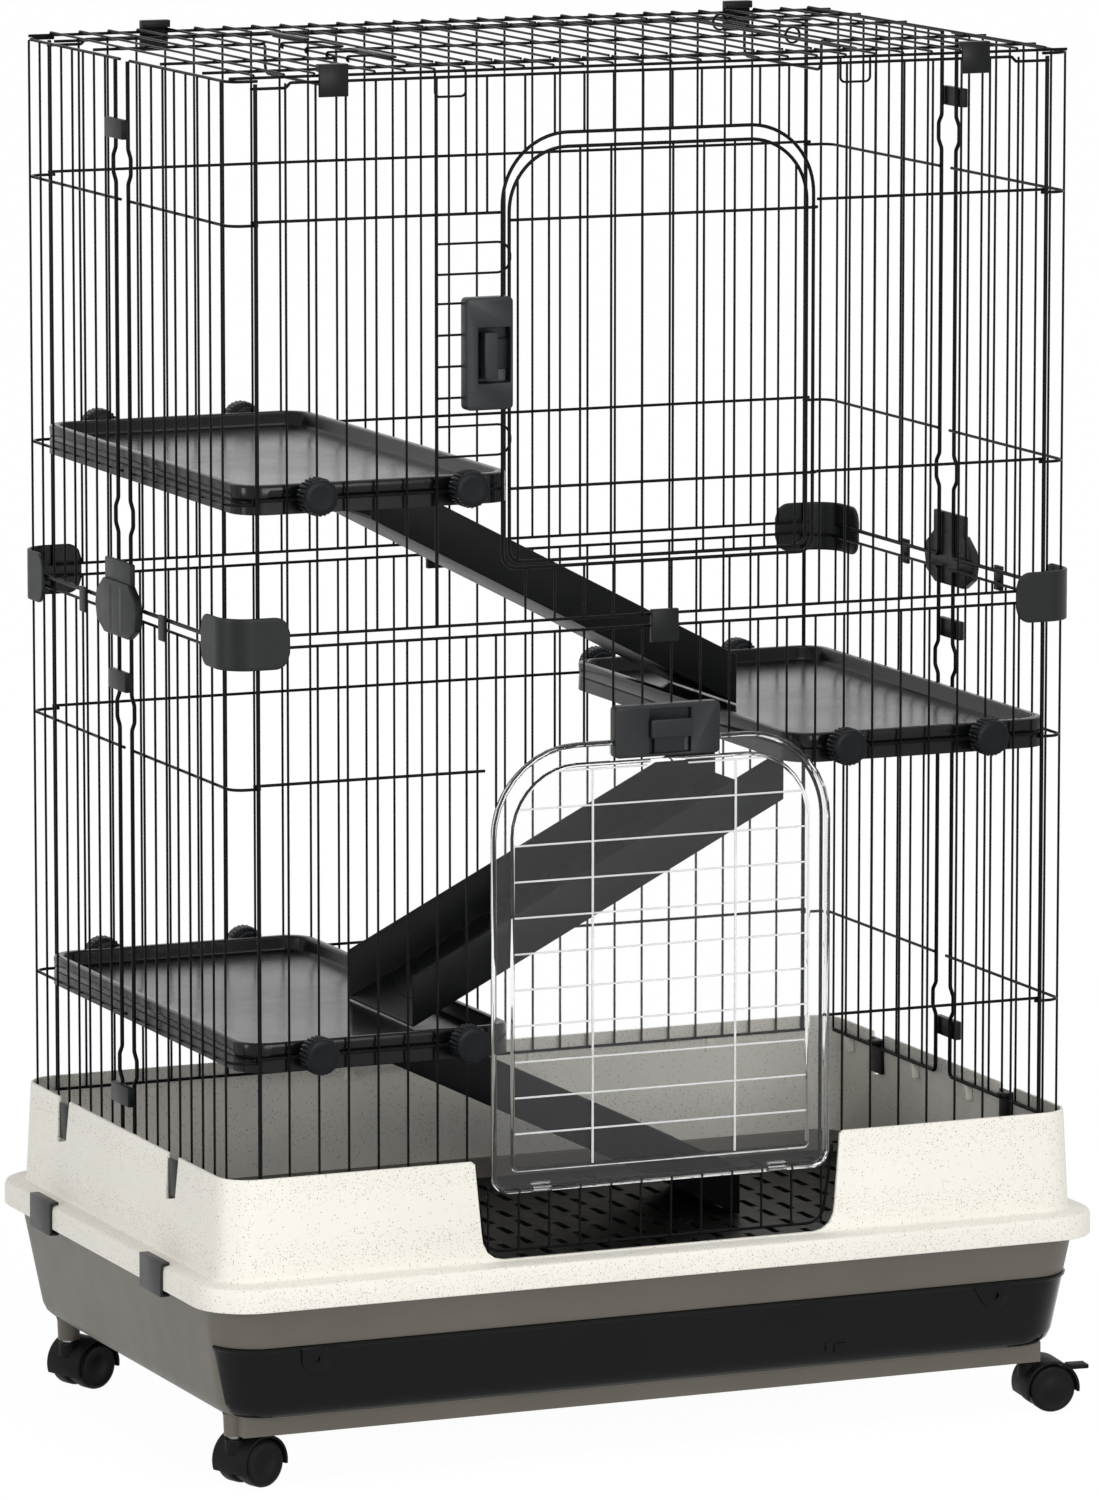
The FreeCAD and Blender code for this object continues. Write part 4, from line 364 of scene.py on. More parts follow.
def cut_away(piece, cutter_form, operation="DIFFERENCE"):
    """Cuts a shape out of a piece for good, or joins it on."""
    mesh = bpy.data.meshes.new("cutter")
    cutter_form.to_mesh(mesh)
    cutter_form.free()
    cutter = bpy.data.objects.new("cutter", mesh)
    bpy.context.scene.collection.objects.link(cutter)
    cut = piece.modifiers.new("cut", "BOOLEAN")
    cut.object = cutter
    cut.operation = operation
    cut.solver = "EXACT"
    shown = piece.evaluated_get(bpy.context.evaluated_depsgraph_get())
    finished = bpy.data.meshes.new_from_object(shown)
    piece.modifiers.clear()
    piece.data = finished
    bpy.data.objects.remove(cutter)


def cut_block(piece, low, high, operation="DIFFERENCE"):
    form = bmesh.new()
    block(form, low, high)
    millimetres(form)
    cut_away(piece, form, operation)


def eased(piece, width, segments=2):
    """Rounds the sharp corners of a piece and shades it."""
    form = bmesh.new()
    form.from_mesh(piece.data)
    round_corners(form, width, segments, merge=2e-6, flat=0.5, corner=40)
    shade_smooth(form)
    form.to_mesh(piece.data)
    form.free()


GUARD_ROWS = [(380.2, 241.2, 24.2, 158.0), (375.6, 237.7, 24.2, 260.2), (376.0, 238.1, 24.6, 260.8),
              (377.0, 239.1, 25.6, 261.0), (378.0, 240.1, 26.6, 260.6), (378.4, 240.5, 27.0, 259.6),
              (381.9, 243.2, 27.0, 181.0), (382.4, 243.6, 27.4, 179.0), (384.0, 245.0, 28.8, 177.4),
              (387.0, 248.0, 31.5, 177.0), (395.0, 259.0, 41.0, 176.8), (398.4, 262.4, 44.4, 175.6),
              (399.8, 263.8, 45.8, 172.0), (400.0, 264.0, 46.0, 157.0), (399.4, 263.4, 45.4, 156.2),
              (397.8, 261.8, 43.8, 156.2), (397.2, 261.2, 43.2, 157.0), (397.2, 261.2, 43.2, 174.2),
              (386.0, 247.0, 30.5, 174.2), (383.0, 244.0, 27.0, 158.0)]
SPECK_SCALE, FINE_SCALE = 420.0, 520.0
cream, shader, place = finish_of("cream_plastic", IOR=1.46)
size_pick = place.cells(SPECK_SCALE, 1).parts()[0]
speck = (size_pick > 0.7) * (place.cells(SPECK_SCALE, 0) < 0.08 + 0.3 * place.noise(700.0) * size_pick)
fine_pick = place.cells(FINE_SCALE, 1).parts()[1]
fine_speck = (fine_pick > 0.6) * (place.cells(FINE_SCALE, 0) < 0.24)
cloud = place.noise(9.0).blend((0.80, 0.765, 0.69, 1), (0.86, 0.835, 0.765, 1))
pale = fine_speck.blend(cloud, (0.5, 0.48, 0.43, 1))
feed(shader, Base_Color=speck.blend(pale, (0.3, 0.29, 0.26, 1)),
     Roughness=0.42 + 0.12 * place.noise(90.0),
     Normal=bumped(place.noise(900.0), 0.12, 0.0003))

form = bmesh.new()
skinned(form, GUARD_ROWS, closed=True)
millimetres(form)
splash_guard = new_piece("splash_guard", form, cream, "cage", ("urine_guard",))

CUT_OUT_SIDE = [(-167.5, 262.0), (-163.0, 258.5), (-157.9, 200.0), (-156.8, 192.5), (-153.0, 185.0),
                (-146.5, 180.2), (-139.0, 178.5)]
CUT_OUT_TOP = [(180, 262), (180, 280), (-180, 280), (-180, 262)]
OUTSIDE_Y, INSIDE_Y = -250, -220
profile = CUT_OUT_SIDE + [(-x, z) for x, z in reversed(CUT_OUT_SIDE)] + CUT_OUT_TOP
cutter = bmesh.new()
swept(cutter, [(x, OUTSIDE_Y, z) for x, z in profile], (0, INSIDE_Y - OUTSIDE_Y, 0))
bmesh.ops.recalc_face_normals(cutter, faces=cutter.faces)
millimetres(cutter)
cut_away(splash_guard, cutter)

SLOT_HALF, SLOT_FOOT, SLOT_HEAD = 12, 222, 270
slots = bmesh.new()
for side in (-1, 1):
    for y in (-117.5, 138):
        low, high = sorted((side * 370, side * 392))
        made = block(slots, (low, y - SLOT_HALF, SLOT_FOOT), (high, y + SLOT_HALF, SLOT_HEAD))
        for vert in made:
            if vert.co.y < y and vert.co.z < SLOT_FOOT + 1:
                vert.co.y += 3.5
                vert.co.z += 4.5
            elif vert.co.y < y:
                vert.co.y -= 2.5
millimetres(slots)
cut_away(splash_guard, slots)
eased(splash_guard, 0.0007)

NUB_HALF, NUB_FOOT, NUB_HEAD, NUB_TAPER = 5, 236, 248.4, 0.7
NUB_X = 372.6
nubs = bmesh.new()
for side in (-1, 1):
    for y in (191, 59, -47):
        made = block(nubs, (side * NUB_X - 3.2, y - NUB_HALF, NUB_FOOT),
                     (side * NUB_X + 3.2, y + NUB_HALF, NUB_HEAD))
        for vert in made:
            if vert.co.z > NUB_FOOT + 1:
                vert.co.y = y + (vert.co.y - y) * NUB_TAPER
for x in (-260, -80, 90, 260):
    made = block(nubs, (x - NUB_HALF, 235.5, NUB_FOOT), (x + NUB_HALF, 238.6, NUB_HEAD))
    for vert in made:
        if vert.co.z > NUB_FOOT + 1:
            vert.co.x = x + (vert.co.x - x) * NUB_TAPER
round_edges(nubs, nubs.edges[:], 0.9, 2)
millimetres(nubs)
shade_smooth(nubs)
new_piece("guard_nubs", nubs, cream, "cage")


# Tub
# Grey-brown plastic with a satin skin. It tapers down to a rounded foot, is open at the front
# for the drawer, and carries a socket for each castor.

TUB_ROWS = [(357.0, 223.0, 25.0, 59.0), (364.8, 230.6, 32.5, 61.0), (370.6, 236.2, 38.0, 66.0),
            (373.8, 239.2, 40.0, 73.0), (387.9, 248.6, 40.0, 154.6), (390.0, 250.6, 40.0, 155.4),
            (396.0, 256.4, 44.0, 155.4), (396.0, 256.4, 44.0, 157.9), (378.6, 233.6, 36.0, 157.9),
            (378.2, 233.2, 36.0, 139.0), (364.0, 219.0, 22.0, 139.0), (364.0, 219.0, 22.0, 136.4),
            (382.0, 244.0, 37.0, 136.0), (371.2, 236.6, 37.0, 74.0), (368.2, 234.0, 36.0, 68.0),
            (357.0, 223.0, 28.0, 62.0)]
SOCKET_ROWS = [(9.2, 9.2, 9.19, 43.2), (9.8, 9.8, 9.79, 59.5), (10.5, 10.5, 10.49, 62.0)]
SOCKETS = ((-357, -200), (357, -200), (-357, 188), (357, 188))
MOUTH_FOOT, MOUTH_HEAD = 62.2, 122.8
taupe, shader, place = finish_of("taupe_plastic", Specular_IOR_Level=0.18)
feed(shader, Base_Color=place.noise(14.0).blend((0.127, 0.117, 0.098, 1), (0.158, 0.146, 0.123, 1)),
     Roughness=0.36 + 0.12 * place.noise(40.0), Normal=bumped(place.noise(600.0), 0.1, 0.0003))

form = bmesh.new()
skinned(form, TUB_ROWS, cap_first=True, cap_last=True)
millimetres(form)
tub = new_piece("tub", form, taupe, "cage", ("base_tub",))
cut_block(tub, (-420, -280, MOUTH_FOOT), (420, -214.2, MOUTH_HEAD))
cut_block(tub, (-342.5, -250, MOUTH_FOOT), (342.5, -190, MOUTH_HEAD))
cut_block(tub, (-358, -222, 45), (358, -198, 62.1), "UNION")
sockets = bmesh.new()
for centre in SOCKETS:
    skinned(sockets, SOCKET_ROWS, cap_first=True, cap_last=True, centre=centre, per_corner=5)
millimetres(sockets)
cut_away(tub, sockets, "UNION")
eased(tub, 0.0009)


# Drawer
# Glossy black plastic, its front bowed round the corners of the tub, with an open tray behind.
# Each end of the front has a moulded pull tab with a screw hole.

FRONT_ROWS = [(360.0, 226.0, 30.0, 62.6), (366.9, 232.7, 35.0, 62.8), (370.8, 236.4, 38.0, 66.2),
              (374.0, 239.4, 40.0, 73.5), (381.6, 244.6, 40.0, 118.5), (383.0, 246.0, 40.0, 119.6),
              (383.4, 246.4, 40.0, 122.0), (382.4, 245.4, 39.0, 122.4), (379.6, 242.6, 38.0, 122.2),
              (371.6, 237.0, 38.0, 74.0), (367.5, 233.4, 36.0, 68.0), (362.0, 228.0, 31.0, 65.0)]
INNER_ROWS = [(334.0, 211.5, 18.0, 62.7), (339.0, 216.5, 21.0, 64.3), (340.0, 217.5, 22.0, 69.3),
              (340.0, 217.5, 22.0, 114.6), (337.6, 215.1, 19.6, 114.6), (337.6, 215.1, 19.6, 69.3),
              (334.0, 211.5, 16.0, 65.1)]
FRONT_END_Y, INNER_MIDDLE_Y = -214.4, -12.5
gloss_black, shader, place = finish_of("gloss_black_plastic", Specular_IOR_Level=0.12)
feed(shader, Base_Color=place.noise(10.0).blend((0.0038, 0.004, 0.0042, 1), (0.006, 0.0062, 0.0065, 1)),
     Roughness=0.1 + 0.06 * place.noise(30.0), Normal=bumped(place.noise(24.0), 0.12, 0.0012))

form = bmesh.new()
skinned(form, FRONT_ROWS, cap_first=True, cap_last=True, per_corner=12)
bmesh.ops.bisect_plane(form, geom=form.verts[:] + form.edges[:] + form.faces[:],
                       plane_co=(0, FRONT_END_Y, 0), plane_no=(0, 1, 0), clear_outer=True)
rim = [edge for edge in form.edges if len(edge.link_faces) == 1]
bmesh.ops.holes_fill(form, edges=rim)
bmesh.ops.recalc_face_normals(form, faces=form.faces)
millimetres(form)
drawer = new_piece("drawer", form, gloss_black, "drawer", ("drawer_tray",))
tray = bmesh.new()
skinned(tray, INNER_ROWS, cap_first=True, cap_last=True, centre=(0, INNER_MIDDLE_Y))
millimetres(tray)
cut_away(drawer, tray, "UNION")
eased(drawer, 0.0007)

TAB_X, TAB_HEAD, TAB_THICK = 304, 120.4, 3.0
TAB_BEND_Z, TAB_HALF, TAB_DROP, TAB_INNER = 111, 12.5, 12, -21.0
FACE_FOOT_Y, FACE_FOOT_Z, FACE_RISE = 236.8, 59, 9
HOLE_RADIUS, HOLE_DEPTH, HOLE_Y = 3.4, 8.0, -247.6
tabs = bmesh.new()
for side in (-1, 1):
    turns = [math.radians(step * 12) for step in range(13)]
    outline = [(TAB_HALF, TAB_HEAD)]
    outline += [(TAB_HALF * math.cos(turn), TAB_BEND_Z - TAB_DROP * math.sin(turn)) for turn in turns]
    outline += [(TAB_INNER, TAB_HEAD)]
    plate = bmesh.new()
    swept(plate, [(side * (TAB_X + across), 0, z) for across, z in outline], (0, -TAB_THICK, 0))
    bmesh.ops.recalc_face_normals(plate, faces=plate.faces)
    round_edges(plate, plate.edges[:], 0.7, 2, clamp=True)
    for vert in plate.verts:
        vert.co.y -= FACE_FOOT_Y + (vert.co.z - FACE_FOOT_Z) / FACE_RISE
    joined(tabs, plate)
block(tabs, (151, -241.2, 76.0), (152.2, -239.0, 82.4))
block(tabs, (159, -241.0, 74.0), (169, -239.0, 82.0))
bmesh.ops.recalc_face_normals(tabs, faces=tabs.faces)
millimetres(tabs)
shade_smooth(tabs)
drawer_tabs = new_piece("drawer_tabs", tabs, gloss_black, "drawer")
holes = bmesh.new()
for x in (-TAB_X, TAB_X):
    along_y = Matrix.Translation((x, HOLE_Y, TAB_BEND_Z)) @ Matrix.Rotation(math.pi / 2, 4, "X")
    bmesh.ops.create_cone(holes, cap_ends=True, segments=20, radius1=HOLE_RADIUS,
                          radius2=HOLE_RADIUS, depth=HOLE_DEPTH, matrix=along_y)
millimetres(holes)
cut_away(drawer_tabs, holes)


# Floor grid
# A dark grey-green plastic floor with staggered slots and shallow grooves between them.

GROOVES_PER_METRE = 76.92
grid_grey, shader, place = finish_of("grid_plastic", Specular_IOR_Level=0.12)
groove = (place.parts()[0] * GROOVES_PER_METRE).math("FRACT")
feed(shader, Base_Color=place.noise(20.0).blend((0.008, 0.008, 0.007, 1), (0.013, 0.013, 0.0115, 1)),
     Roughness=0.3 + 0.15 * place.noise(50.0),
     Normal=bumped((groove - 0.5).math("ABSOLUTE") > 0.07, 0.8, 0.0008))
dress("floor_grid", grid_grey)


# Clear lower door
# Clear plastic: a rounded rim and a thin skin, two hooks that snap over the hinge wire, and a
# grid of fine ribs in a whiter, half-clear copy of the plastic: a painted highlight for the light they
# catch.

clear, shader, place = finish_of("clear_plastic", Base_Color=(0.99, 0.995, 0.995, 1),
                                 Transmission_Weight=1.0, IOR=1.33)
feed(shader, Roughness=0.01 + 0.02 * place.noise(45.0), Normal=bumped(place.noise(30.0), 0.03, 0.0004))
# The ribs' finish is about half diffuse white: a painted highlight for the light that clear ribs catch.
rib_painted_highlight, shader, place = finish_of("clear_plastic_painted_highlight", Base_Color=(0.98, 0.98, 0.99, 1),
                                  Transmission_Weight=0.45, IOR=1.4)
feed(shader, Roughness=0.1 + 0.12 * place.noise(80.0))

DOOR_HALF, DOOR_FOOT, DOOR_HEAD = 150, 233, 600
DOOR_BEND, DOOR_HEEL, HEEL_SHRINK = 75, 14, 0.55
ARCH_STEPS = 10


def arch_of(form, inset, y):
    """A ring in the plane of the door: wide bends at the top, small ones at the foot."""
    half, low, high = DOOR_HALF - inset, DOOR_FOOT + inset, DOOR_HEAD - inset
    bend = max(DOOR_BEND - inset, 3)
    heel = max(DOOR_HEEL - inset * HEEL_SHRINK, 4)
    ordered = circle_in_order(form, 4 * ARCH_STEPS)
    for number, vert in enumerate(ordered):
        quarter, step = divmod(number, ARCH_STEPS)
        turn = math.pi / 2 * (quarter + step / (ARCH_STEPS - 1))
        side = 1 if quarter in (0, 3) else -1
        radius = bend if quarter < 2 else heel
        middle = high - radius if quarter < 2 else low + radius
        vert.co = (side * (half - radius) + radius * math.cos(turn), y, middle + radius * math.sin(turn))
    return ordered


BACK, SKIN, FRONT = -241.51, -243.9, -248.4
PANE_ROWS = [(0.9, BACK), (0.1, BACK - 0.8), (0.0, FRONT + 1.6), (0.5, FRONT + 0.5), (1.6, FRONT),
             (2.6, FRONT + 0.3), (3.1, FRONT + 1.2), (3.6, SKIN - 0.5), (4.4, SKIN), (16.8, SKIN),
             (17.3, SKIN - 0.5), (17.6, SKIN - 2.2), (18.1, SKIN - 2.7), (19.0, SKIN - 2.7),
             (19.5, SKIN - 2.2), (19.8, SKIN - 0.4), (20.4, SKIN)]
BOX_X, BOX_HALF, BOLT_X, BOLT_HALF = 3.2, 48.6, 5.5, 15.9
LARGEST_SMOOTH_FACE = 0.002
form = bmesh.new()
skinned(form, PANE_ROWS, cap_first=True, cap_last=True, ring=arch_of)
millimetres(form)
pane = new_piece("clear_pane", form, clear, "lower_door", ("lower_door",))
cut_block(pane, (BOX_X - BOX_HALF, -262, 582.5), (BOX_X + BOX_HALF, -238, 612))
cut_block(pane, (BOLT_X - BOLT_HALF, -262, 573.1), (BOLT_X + BOLT_HALF, -243.92, 583))
eased(pane, 0.0003, 1)
for face in pane.data.polygons:
    face.use_smooth = face.area < LARGEST_SMOOTH_FACE

HINGE_Y, HINGE_Z = -239.76, 236.5
HOOK_HALF, HOOK_OUTER, HOOK_BORE = 8, 3.5, 1.52


def hook_ring(form, x, radius):
    """An upright ring round the hinge wire."""
    upright = Matrix.Translation((x, HINGE_Y, HINGE_Z)) @ Matrix.Rotation(math.pi / 2, 4, "Y")
    return bmesh.ops.create_circle(form, segments=20, radius=radius, matrix=upright)["verts"]


hooks = bmesh.new()
for x in (-105, 105):
    skinned(hooks, [(x - HOOK_HALF, HOOK_OUTER), (x + HOOK_HALF, HOOK_OUTER),
                    (x + HOOK_HALF, HOOK_BORE), (x - HOOK_HALF, HOOK_BORE)],
            closed=True, ring=hook_ring)
    block(hooks, (x - HOOK_HALF, -243.9, 233.2), (x + HOOK_HALF, -241.6, 238.2))
millimetres(hooks)
shade_smooth(hooks)
new_piece("clear_hooks", hooks, clear, "lower_door")

CROSS_RIBS, LOWEST_RIB_Z, RIB_PITCH = 11, 281.5, 29.6
RIB_REACH, RIB_FIELD_HEAD, RIB_BEND = 130.0, 580.2, 55.2
ribs = bmesh.new()
for x in (-61, 66):
    block(ribs, (x - 0.9, SKIN - 1.5, 252.5), (x + 0.9, SKIN + 0.05, 577))
for number in range(CROSS_RIBS):
    z = LOWEST_RIB_Z + number * RIB_PITCH
    past = max(z - (RIB_FIELD_HEAD - RIB_BEND), 0)
    half = RIB_REACH - RIB_BEND + math.sqrt(max(RIB_BEND ** 2 - past ** 2, 0))
    under_bolt = number == CROSS_RIBS - 1
    spans = ((-half, -12.5), (23.5, half)) if under_bolt else ((-half, half),)
    for low, high in spans:
        block(ribs, (low, SKIN - 1.3, z - 0.75), (high, SKIN + 0.05, z + 0.75))
round_edges(ribs, ribs.edges[:], 0.35, 1)
millimetres(ribs)
shade_smooth(ribs)
new_piece("clear_ribs", ribs, rib_painted_highlight, "lower_door")


# Latches
# Black plastic boxes clipped over the wires. A ribbed knob in the recess slides the bolt.

latch_black, shader, place = finish_of("latch_plastic", Specular_IOR_Level=0.25)
feed(shader, Base_Color=place.noise(40.0).blend((0.008, 0.0095, 0.011, 1), (0.014, 0.016, 0.0185, 1)),
     Roughness=0.3 + 0.12 * place.noise(70.0), Normal=bumped(place.noise(1500.0), 0.08, 0.0002))
for name, body in (("upper_latch_housing", "cage"), ("upper_latch_bolt", "upper_bolt"),
                   ("lower_latch_housing", "cage"), ("lower_latch_bolt", "lower_bolt")):
    softened(name, latch_black, body, 0.0011, 3)


# Plastic clips
# Clips that hook over pairs of wires: satin black with a blue cast at the corners and side
# joints, plain black at the seams, rails and roof, dark grey over the guard's flange.

clip_black, shader, place = finish_of("clip_plastic", Specular_IOR_Level=0.22)
feed(shader, Base_Color=place.noise(30.0).blend((0.008, 0.0094, 0.0098, 1), (0.0115, 0.013, 0.0136, 1)),
     Roughness=0.36 + 0.14 * place.noise(60.0), Normal=bumped(place.noise(900.0), 0.12, 0.0002))

PLATE_HALF, PLATE_HEIGHT, PLATE_THICK, PLATE_CORNER = 50.5, 42, 3.0, 13
PLATE_X, PLATE_Y, PLATE_Z = 374.02, 237.07, 694.75
OUTER_BEND, BEND_SHIFT = 25.0, 0.5
INNER_BEND = OUTER_BEND - PLATE_THICK
HALF_ARC = OUTER_BEND * math.pi / 4


def flat_plate(form):
    """An upright plate with round corners, its outer face on the plane y = 0."""
    half_height = PLATE_HEIGHT / 2
    made = bmesh.ops.create_grid(form, x_segments=44, y_segments=14, size=1.0)["verts"]
    for vert in made:
        u, v = vert.co.x * PLATE_HALF, vert.co.y * half_height
        limit = half_height
        past = abs(u) - (PLATE_HALF - PLATE_CORNER)
        if past > 0:
            limit = half_height - PLATE_CORNER + math.sqrt(max(PLATE_CORNER ** 2 - past ** 2, 0.0))
        vert.co = (u, 0, max(-limit, min(limit, v * limit / half_height)))
    made_faces = form.faces[:]
    bmesh.ops.recalc_face_normals(form, faces=made_faces)
    bmesh.ops.solidify(form, geom=made_faces, thickness=PLATE_THICK)


form = bmesh.new()
for side_x, side_y in ((-1, -1), (1, -1), (-1, 1), (1, 1)):
    sheet = bmesh.new()
    flat_plate(sheet)
    for vert in sheet.verts:
        u, depth, z = vert.co
        outward = PLATE_THICK if abs(depth) < 1e-3 else 0.0
        past_bend = u - BEND_SHIFT
        if past_bend < -HALF_ARC:
            x, y = PLATE_X + outward, PLATE_Y - INNER_BEND + (past_bend + HALF_ARC)
        elif past_bend > HALF_ARC:
            x, y = PLATE_X - INNER_BEND - (past_bend - HALF_ARC), PLATE_Y + outward
        else:
            turn = (past_bend + HALF_ARC) / OUTER_BEND
            x = PLATE_X - INNER_BEND + (INNER_BEND + outward) * math.cos(turn)
            y = PLATE_Y - INNER_BEND + (INNER_BEND + outward) * math.sin(turn)
        vert.co = (side_x * x, side_y * y, PLATE_Z + z)
    bmesh.ops.recalc_face_normals(sheet, faces=sheet.faces)
    outline = [edge for edge in sheet.edges if edge.calc_face_angle(0) > math.radians(60)]
    round_edges(sheet, outline, 0.9, 2)
    joined(form, sheet)
millimetres(form)
shade_smooth(form, 50)
new_piece("corner_plates", form, clip_black, "cage", ("corner_clips",))

JOINT_OUTLINE = ((-29, 717), (-44, 706), (-47.5, 694), (-44, 681), (-27, 672),
                 (27, 672), (44, 681), (47.5, 694), (44, 706), (29, 717))
JOINT_THICK = 6.9
form = bmesh.new()
for side in (-1, 1):
    plate = bmesh.new()
    swept(plate, [(0, y, z) for y, z in JOINT_OUTLINE], (JOINT_THICK, 0, 0))
    block(plate, (0, -30, 715), (4.6, 30, 734.2))
    block(plate, (0.5, -19, 675), (7.0, -8, 714))
    block(plate, (0.5, 8, 675), (7.0, 19, 714))
    bmesh.ops.recalc_face_normals(plate, faces=plate.faces)
    round_edges(plate, plate.edges[:], 1.5, 3, clamp=True)
    for vert in plate.verts:
        vert.co.x = side * (PLATE_X + vert.co.x)
    if side < 0:
        bmesh.ops.reverse_faces(plate, faces=plate.faces)
    joined(form, plate)
millimetres(form)
shade_smooth(form, 45)
new_piece("side_plates", form, clip_black, "cage", ("side_joint_clips",))

small_black, shader, place = finish_of("small_clip_plastic", Specular_IOR_Level=0.16)
feed(shader, Base_Color=place.noise(30.0).blend((0.0035, 0.004, 0.0044, 1), (0.007, 0.0076, 0.008, 1)),
     Roughness=0.3 + 0.14 * place.noise(60.0), Normal=bumped(place.noise(900.0), 0.1, 0.0002))
softened("seam_clips", small_black, "cage", 0.0009, 3)
softened("rail_clips", small_black, "cage", 0.0008, 3)
softened("roof_clips", small_black, "cage", 0.0007)
softened("guard_hold_clips", small_black, "cage", 0.0004)
softened("hatch_sleeves", small_black, "hatch", 0.0005)

clip_grey, shader, place = finish_of("flange_clip_plastic", Specular_IOR_Level=0.3)
feed(shader, Base_Color=place.noise(30.0).blend((0.016, 0.0165, 0.0165, 1), (0.024, 0.0245, 0.0245, 1)),
     Roughness=0.34 + 0.12 * place.noise(60.0), Normal=bumped(place.noise(900.0), 0.12, 0.0002))
softened("flange_clips", clip_grey, "cage", 0.0006)


# Platforms
# Black moulded trays with a hollow rim, a stepped outer wall, round corners and three ribs
# underneath. Faint rings from moulding show round the middle of each floor.

TRAYS = (("platform_upper_left", "upper", -241.5, 821.0),
         ("platform_middle_right", "middle", 241.5, 592.0),
         ("platform_lower_left", "lower", -241.5, 369.6))
TRAY_HALF_X, TRAY_HALF_Y = 118.5, 230.55
TRAY_TOP = [(0.0, -24.0, 25.0), (0.3, -13.2, 25.0), (1.3, -12.4, 24.5), (0.5, -11.6, 25.0),
            (0.0, -2.4, 25.0), (0.7, -0.7, 24.4), (2.2, 0.0, 23.2), (6.6, 0.0, 20.0),
            (7.8, -0.6, 19.0), (8.4, -2.0, 18.5), (9.2, -9.4, 18.0), (10.4, -11.3, 17.0),
            (13.5, -12.0, 14.5), (40.0, -12.2, 10.0)]
TRAY_UNDER = [(36.0, -14.6, 10.0), (8.0, -14.5, 18.0), (3.0, -14.0, 22.0), (2.4, -24.0, 22.6)]
RINGS_PER_METRE = 40.0
for node, name, middle_x, head in TRAYS:
    tray_black, shader, place = finish_of("tray_plastic_" + name, Specular_IOR_Level=0.2)
    across, along = place.parts()[:2]
    off_x = across - middle_x / 1000
    reach = (off_x * off_x + along * along).math("SQRT")
    halo = (reach * RINGS_PER_METRE).math("SINE")
    gate = reach.node("ShaderNodeMapRange", {"interpolation_type": "SMOOTHSTEP"},
                      {0: reach, 1: 0.004, 2: 0.012, 3: 1.0, 4: 0.0})
    feed(shader, Base_Color=place.noise(12.0).blend((0.003, 0.0033, 0.0036, 1), (0.0055, 0.0058, 0.006, 1)),
         Roughness=0.18 + 0.02 * halo + 0.06 * place.noise(55.0),
         Normal=bumped(place.noise(1100.0) + 0.8 * halo + 1.5 * gate, 0.08, 0.0004))
    form = bmesh.new()
    upper, under = [[(TRAY_HALF_X - inset, TRAY_HALF_Y - inset, corner, head + drop)
                     for inset, drop, corner in rows] for rows in (TRAY_TOP, TRAY_UNDER)]
    skinned(form, upper, cap_last=True, centre=(middle_x, 0))
    skinned(form, under, cap_first=True, centre=(middle_x, 0))
    open_edges = [edge for edge in form.edges if len(edge.link_faces) == 1]
    bmesh.ops.bridge_loops(form, edges=open_edges)
    rib_half = TRAY_HALF_X - 3
    for y in (-150, 0, 150):
        block(form, (middle_x - rib_half, y - 1, head - 22), (middle_x + rib_half, y + 1, head - 13.5))
    bmesh.ops.recalc_face_normals(form, faces=form.faces)
    millimetres(form)
    shade_smooth(form, 42)
    new_piece(node + "_tray", form, tray_black, "cage", (node,))


# Hand screws
# Black knobs with a fluted grip and a smooth face, screwed through to the trays.

knob_black, shader, place = finish_of("knob_plastic", Specular_IOR_Level=0.12)
feed(shader, Base_Color=place.noise(50.0).blend((0.0035, 0.0045, 0.006, 1), (0.006, 0.0075, 0.0095, 1)),
     Roughness=0.3 + 0.12 * place.noise(90.0), Normal=bumped(place.noise(1300.0), 0.08, 0.0002))

GRIP_TEETH = 26
KNOB_Y = 235.39
KNOB_ROWS = [(9.5, 0.0, 0.0), (11.5, 0.4, 0.0), (12.0, 5.5, 0.0), (14.0, 6.2, 0.2), (15.4, 6.8, 1.2),
             (15.5, 19.5, 1.2), (15.0, 20.3, 1.0), (14.6, 20.6, 0.1), (14.2, 22.3, 0.0),
             (13.2, 23.0, 0.0), (9.0, 22.8, 0.0), (4.0, 22.7, 0.0)]
LEFT_PLACES = ((-1, -301.69), (-1, -171.07), (1, -300.91), (1, -171.58))
RIGHT_PLACES = ((-1, 163.6), (-1, 292.42), (1, 157.93), (1, 291.13))
KNOBS = {"upper": (812.47, LEFT_PLACES), "middle": (582.87, RIGHT_PLACES),
         "lower": (360.47, LEFT_PLACES)}


def gear_of(form, radius, depth, flute):
    """A ring in the front plane whose points step in and out like a grip."""
    ordered = circle_in_order(form, 4 * GRIP_TEETH)
    for number, vert in enumerate(ordered):
        turn = math.tau * number / len(ordered)
        reach = radius - (flute if number % 4 in (0, 1) else 0.0)
        vert.co = (reach * math.cos(turn), -depth, reach * math.sin(turn))
    return ordered


for name, (z, places) in KNOBS.items():
    form = bmesh.new()
    for side, x in places:
        knob = bmesh.new()
        skinned(knob, KNOB_ROWS, cap_first=True, cap_last=True, ring=gear_of)
        along_y = Matrix.Translation((0, 2.4, 0)) @ Matrix.Rotation(math.pi / 2, 4, "X")
        bmesh.ops.create_cone(knob, cap_ends=True, segments=20, radius1=2.0, radius2=2.0,
                              depth=6.0, matrix=along_y)
        if side > 0:
            bmesh.ops.rotate(knob, cent=(0, 0, 0), matrix=Matrix.Rotation(math.pi, 3, "Z"),
                             verts=knob.verts)
        bmesh.ops.translate(knob, vec=(x, side * KNOB_Y, z), verts=knob.verts)
        joined(form, knob)
    millimetres(form)
    shade_smooth(form, 38)
    new_piece("knobs_" + name, form, knob_black, "cage", ("hand_screws_" + name,))


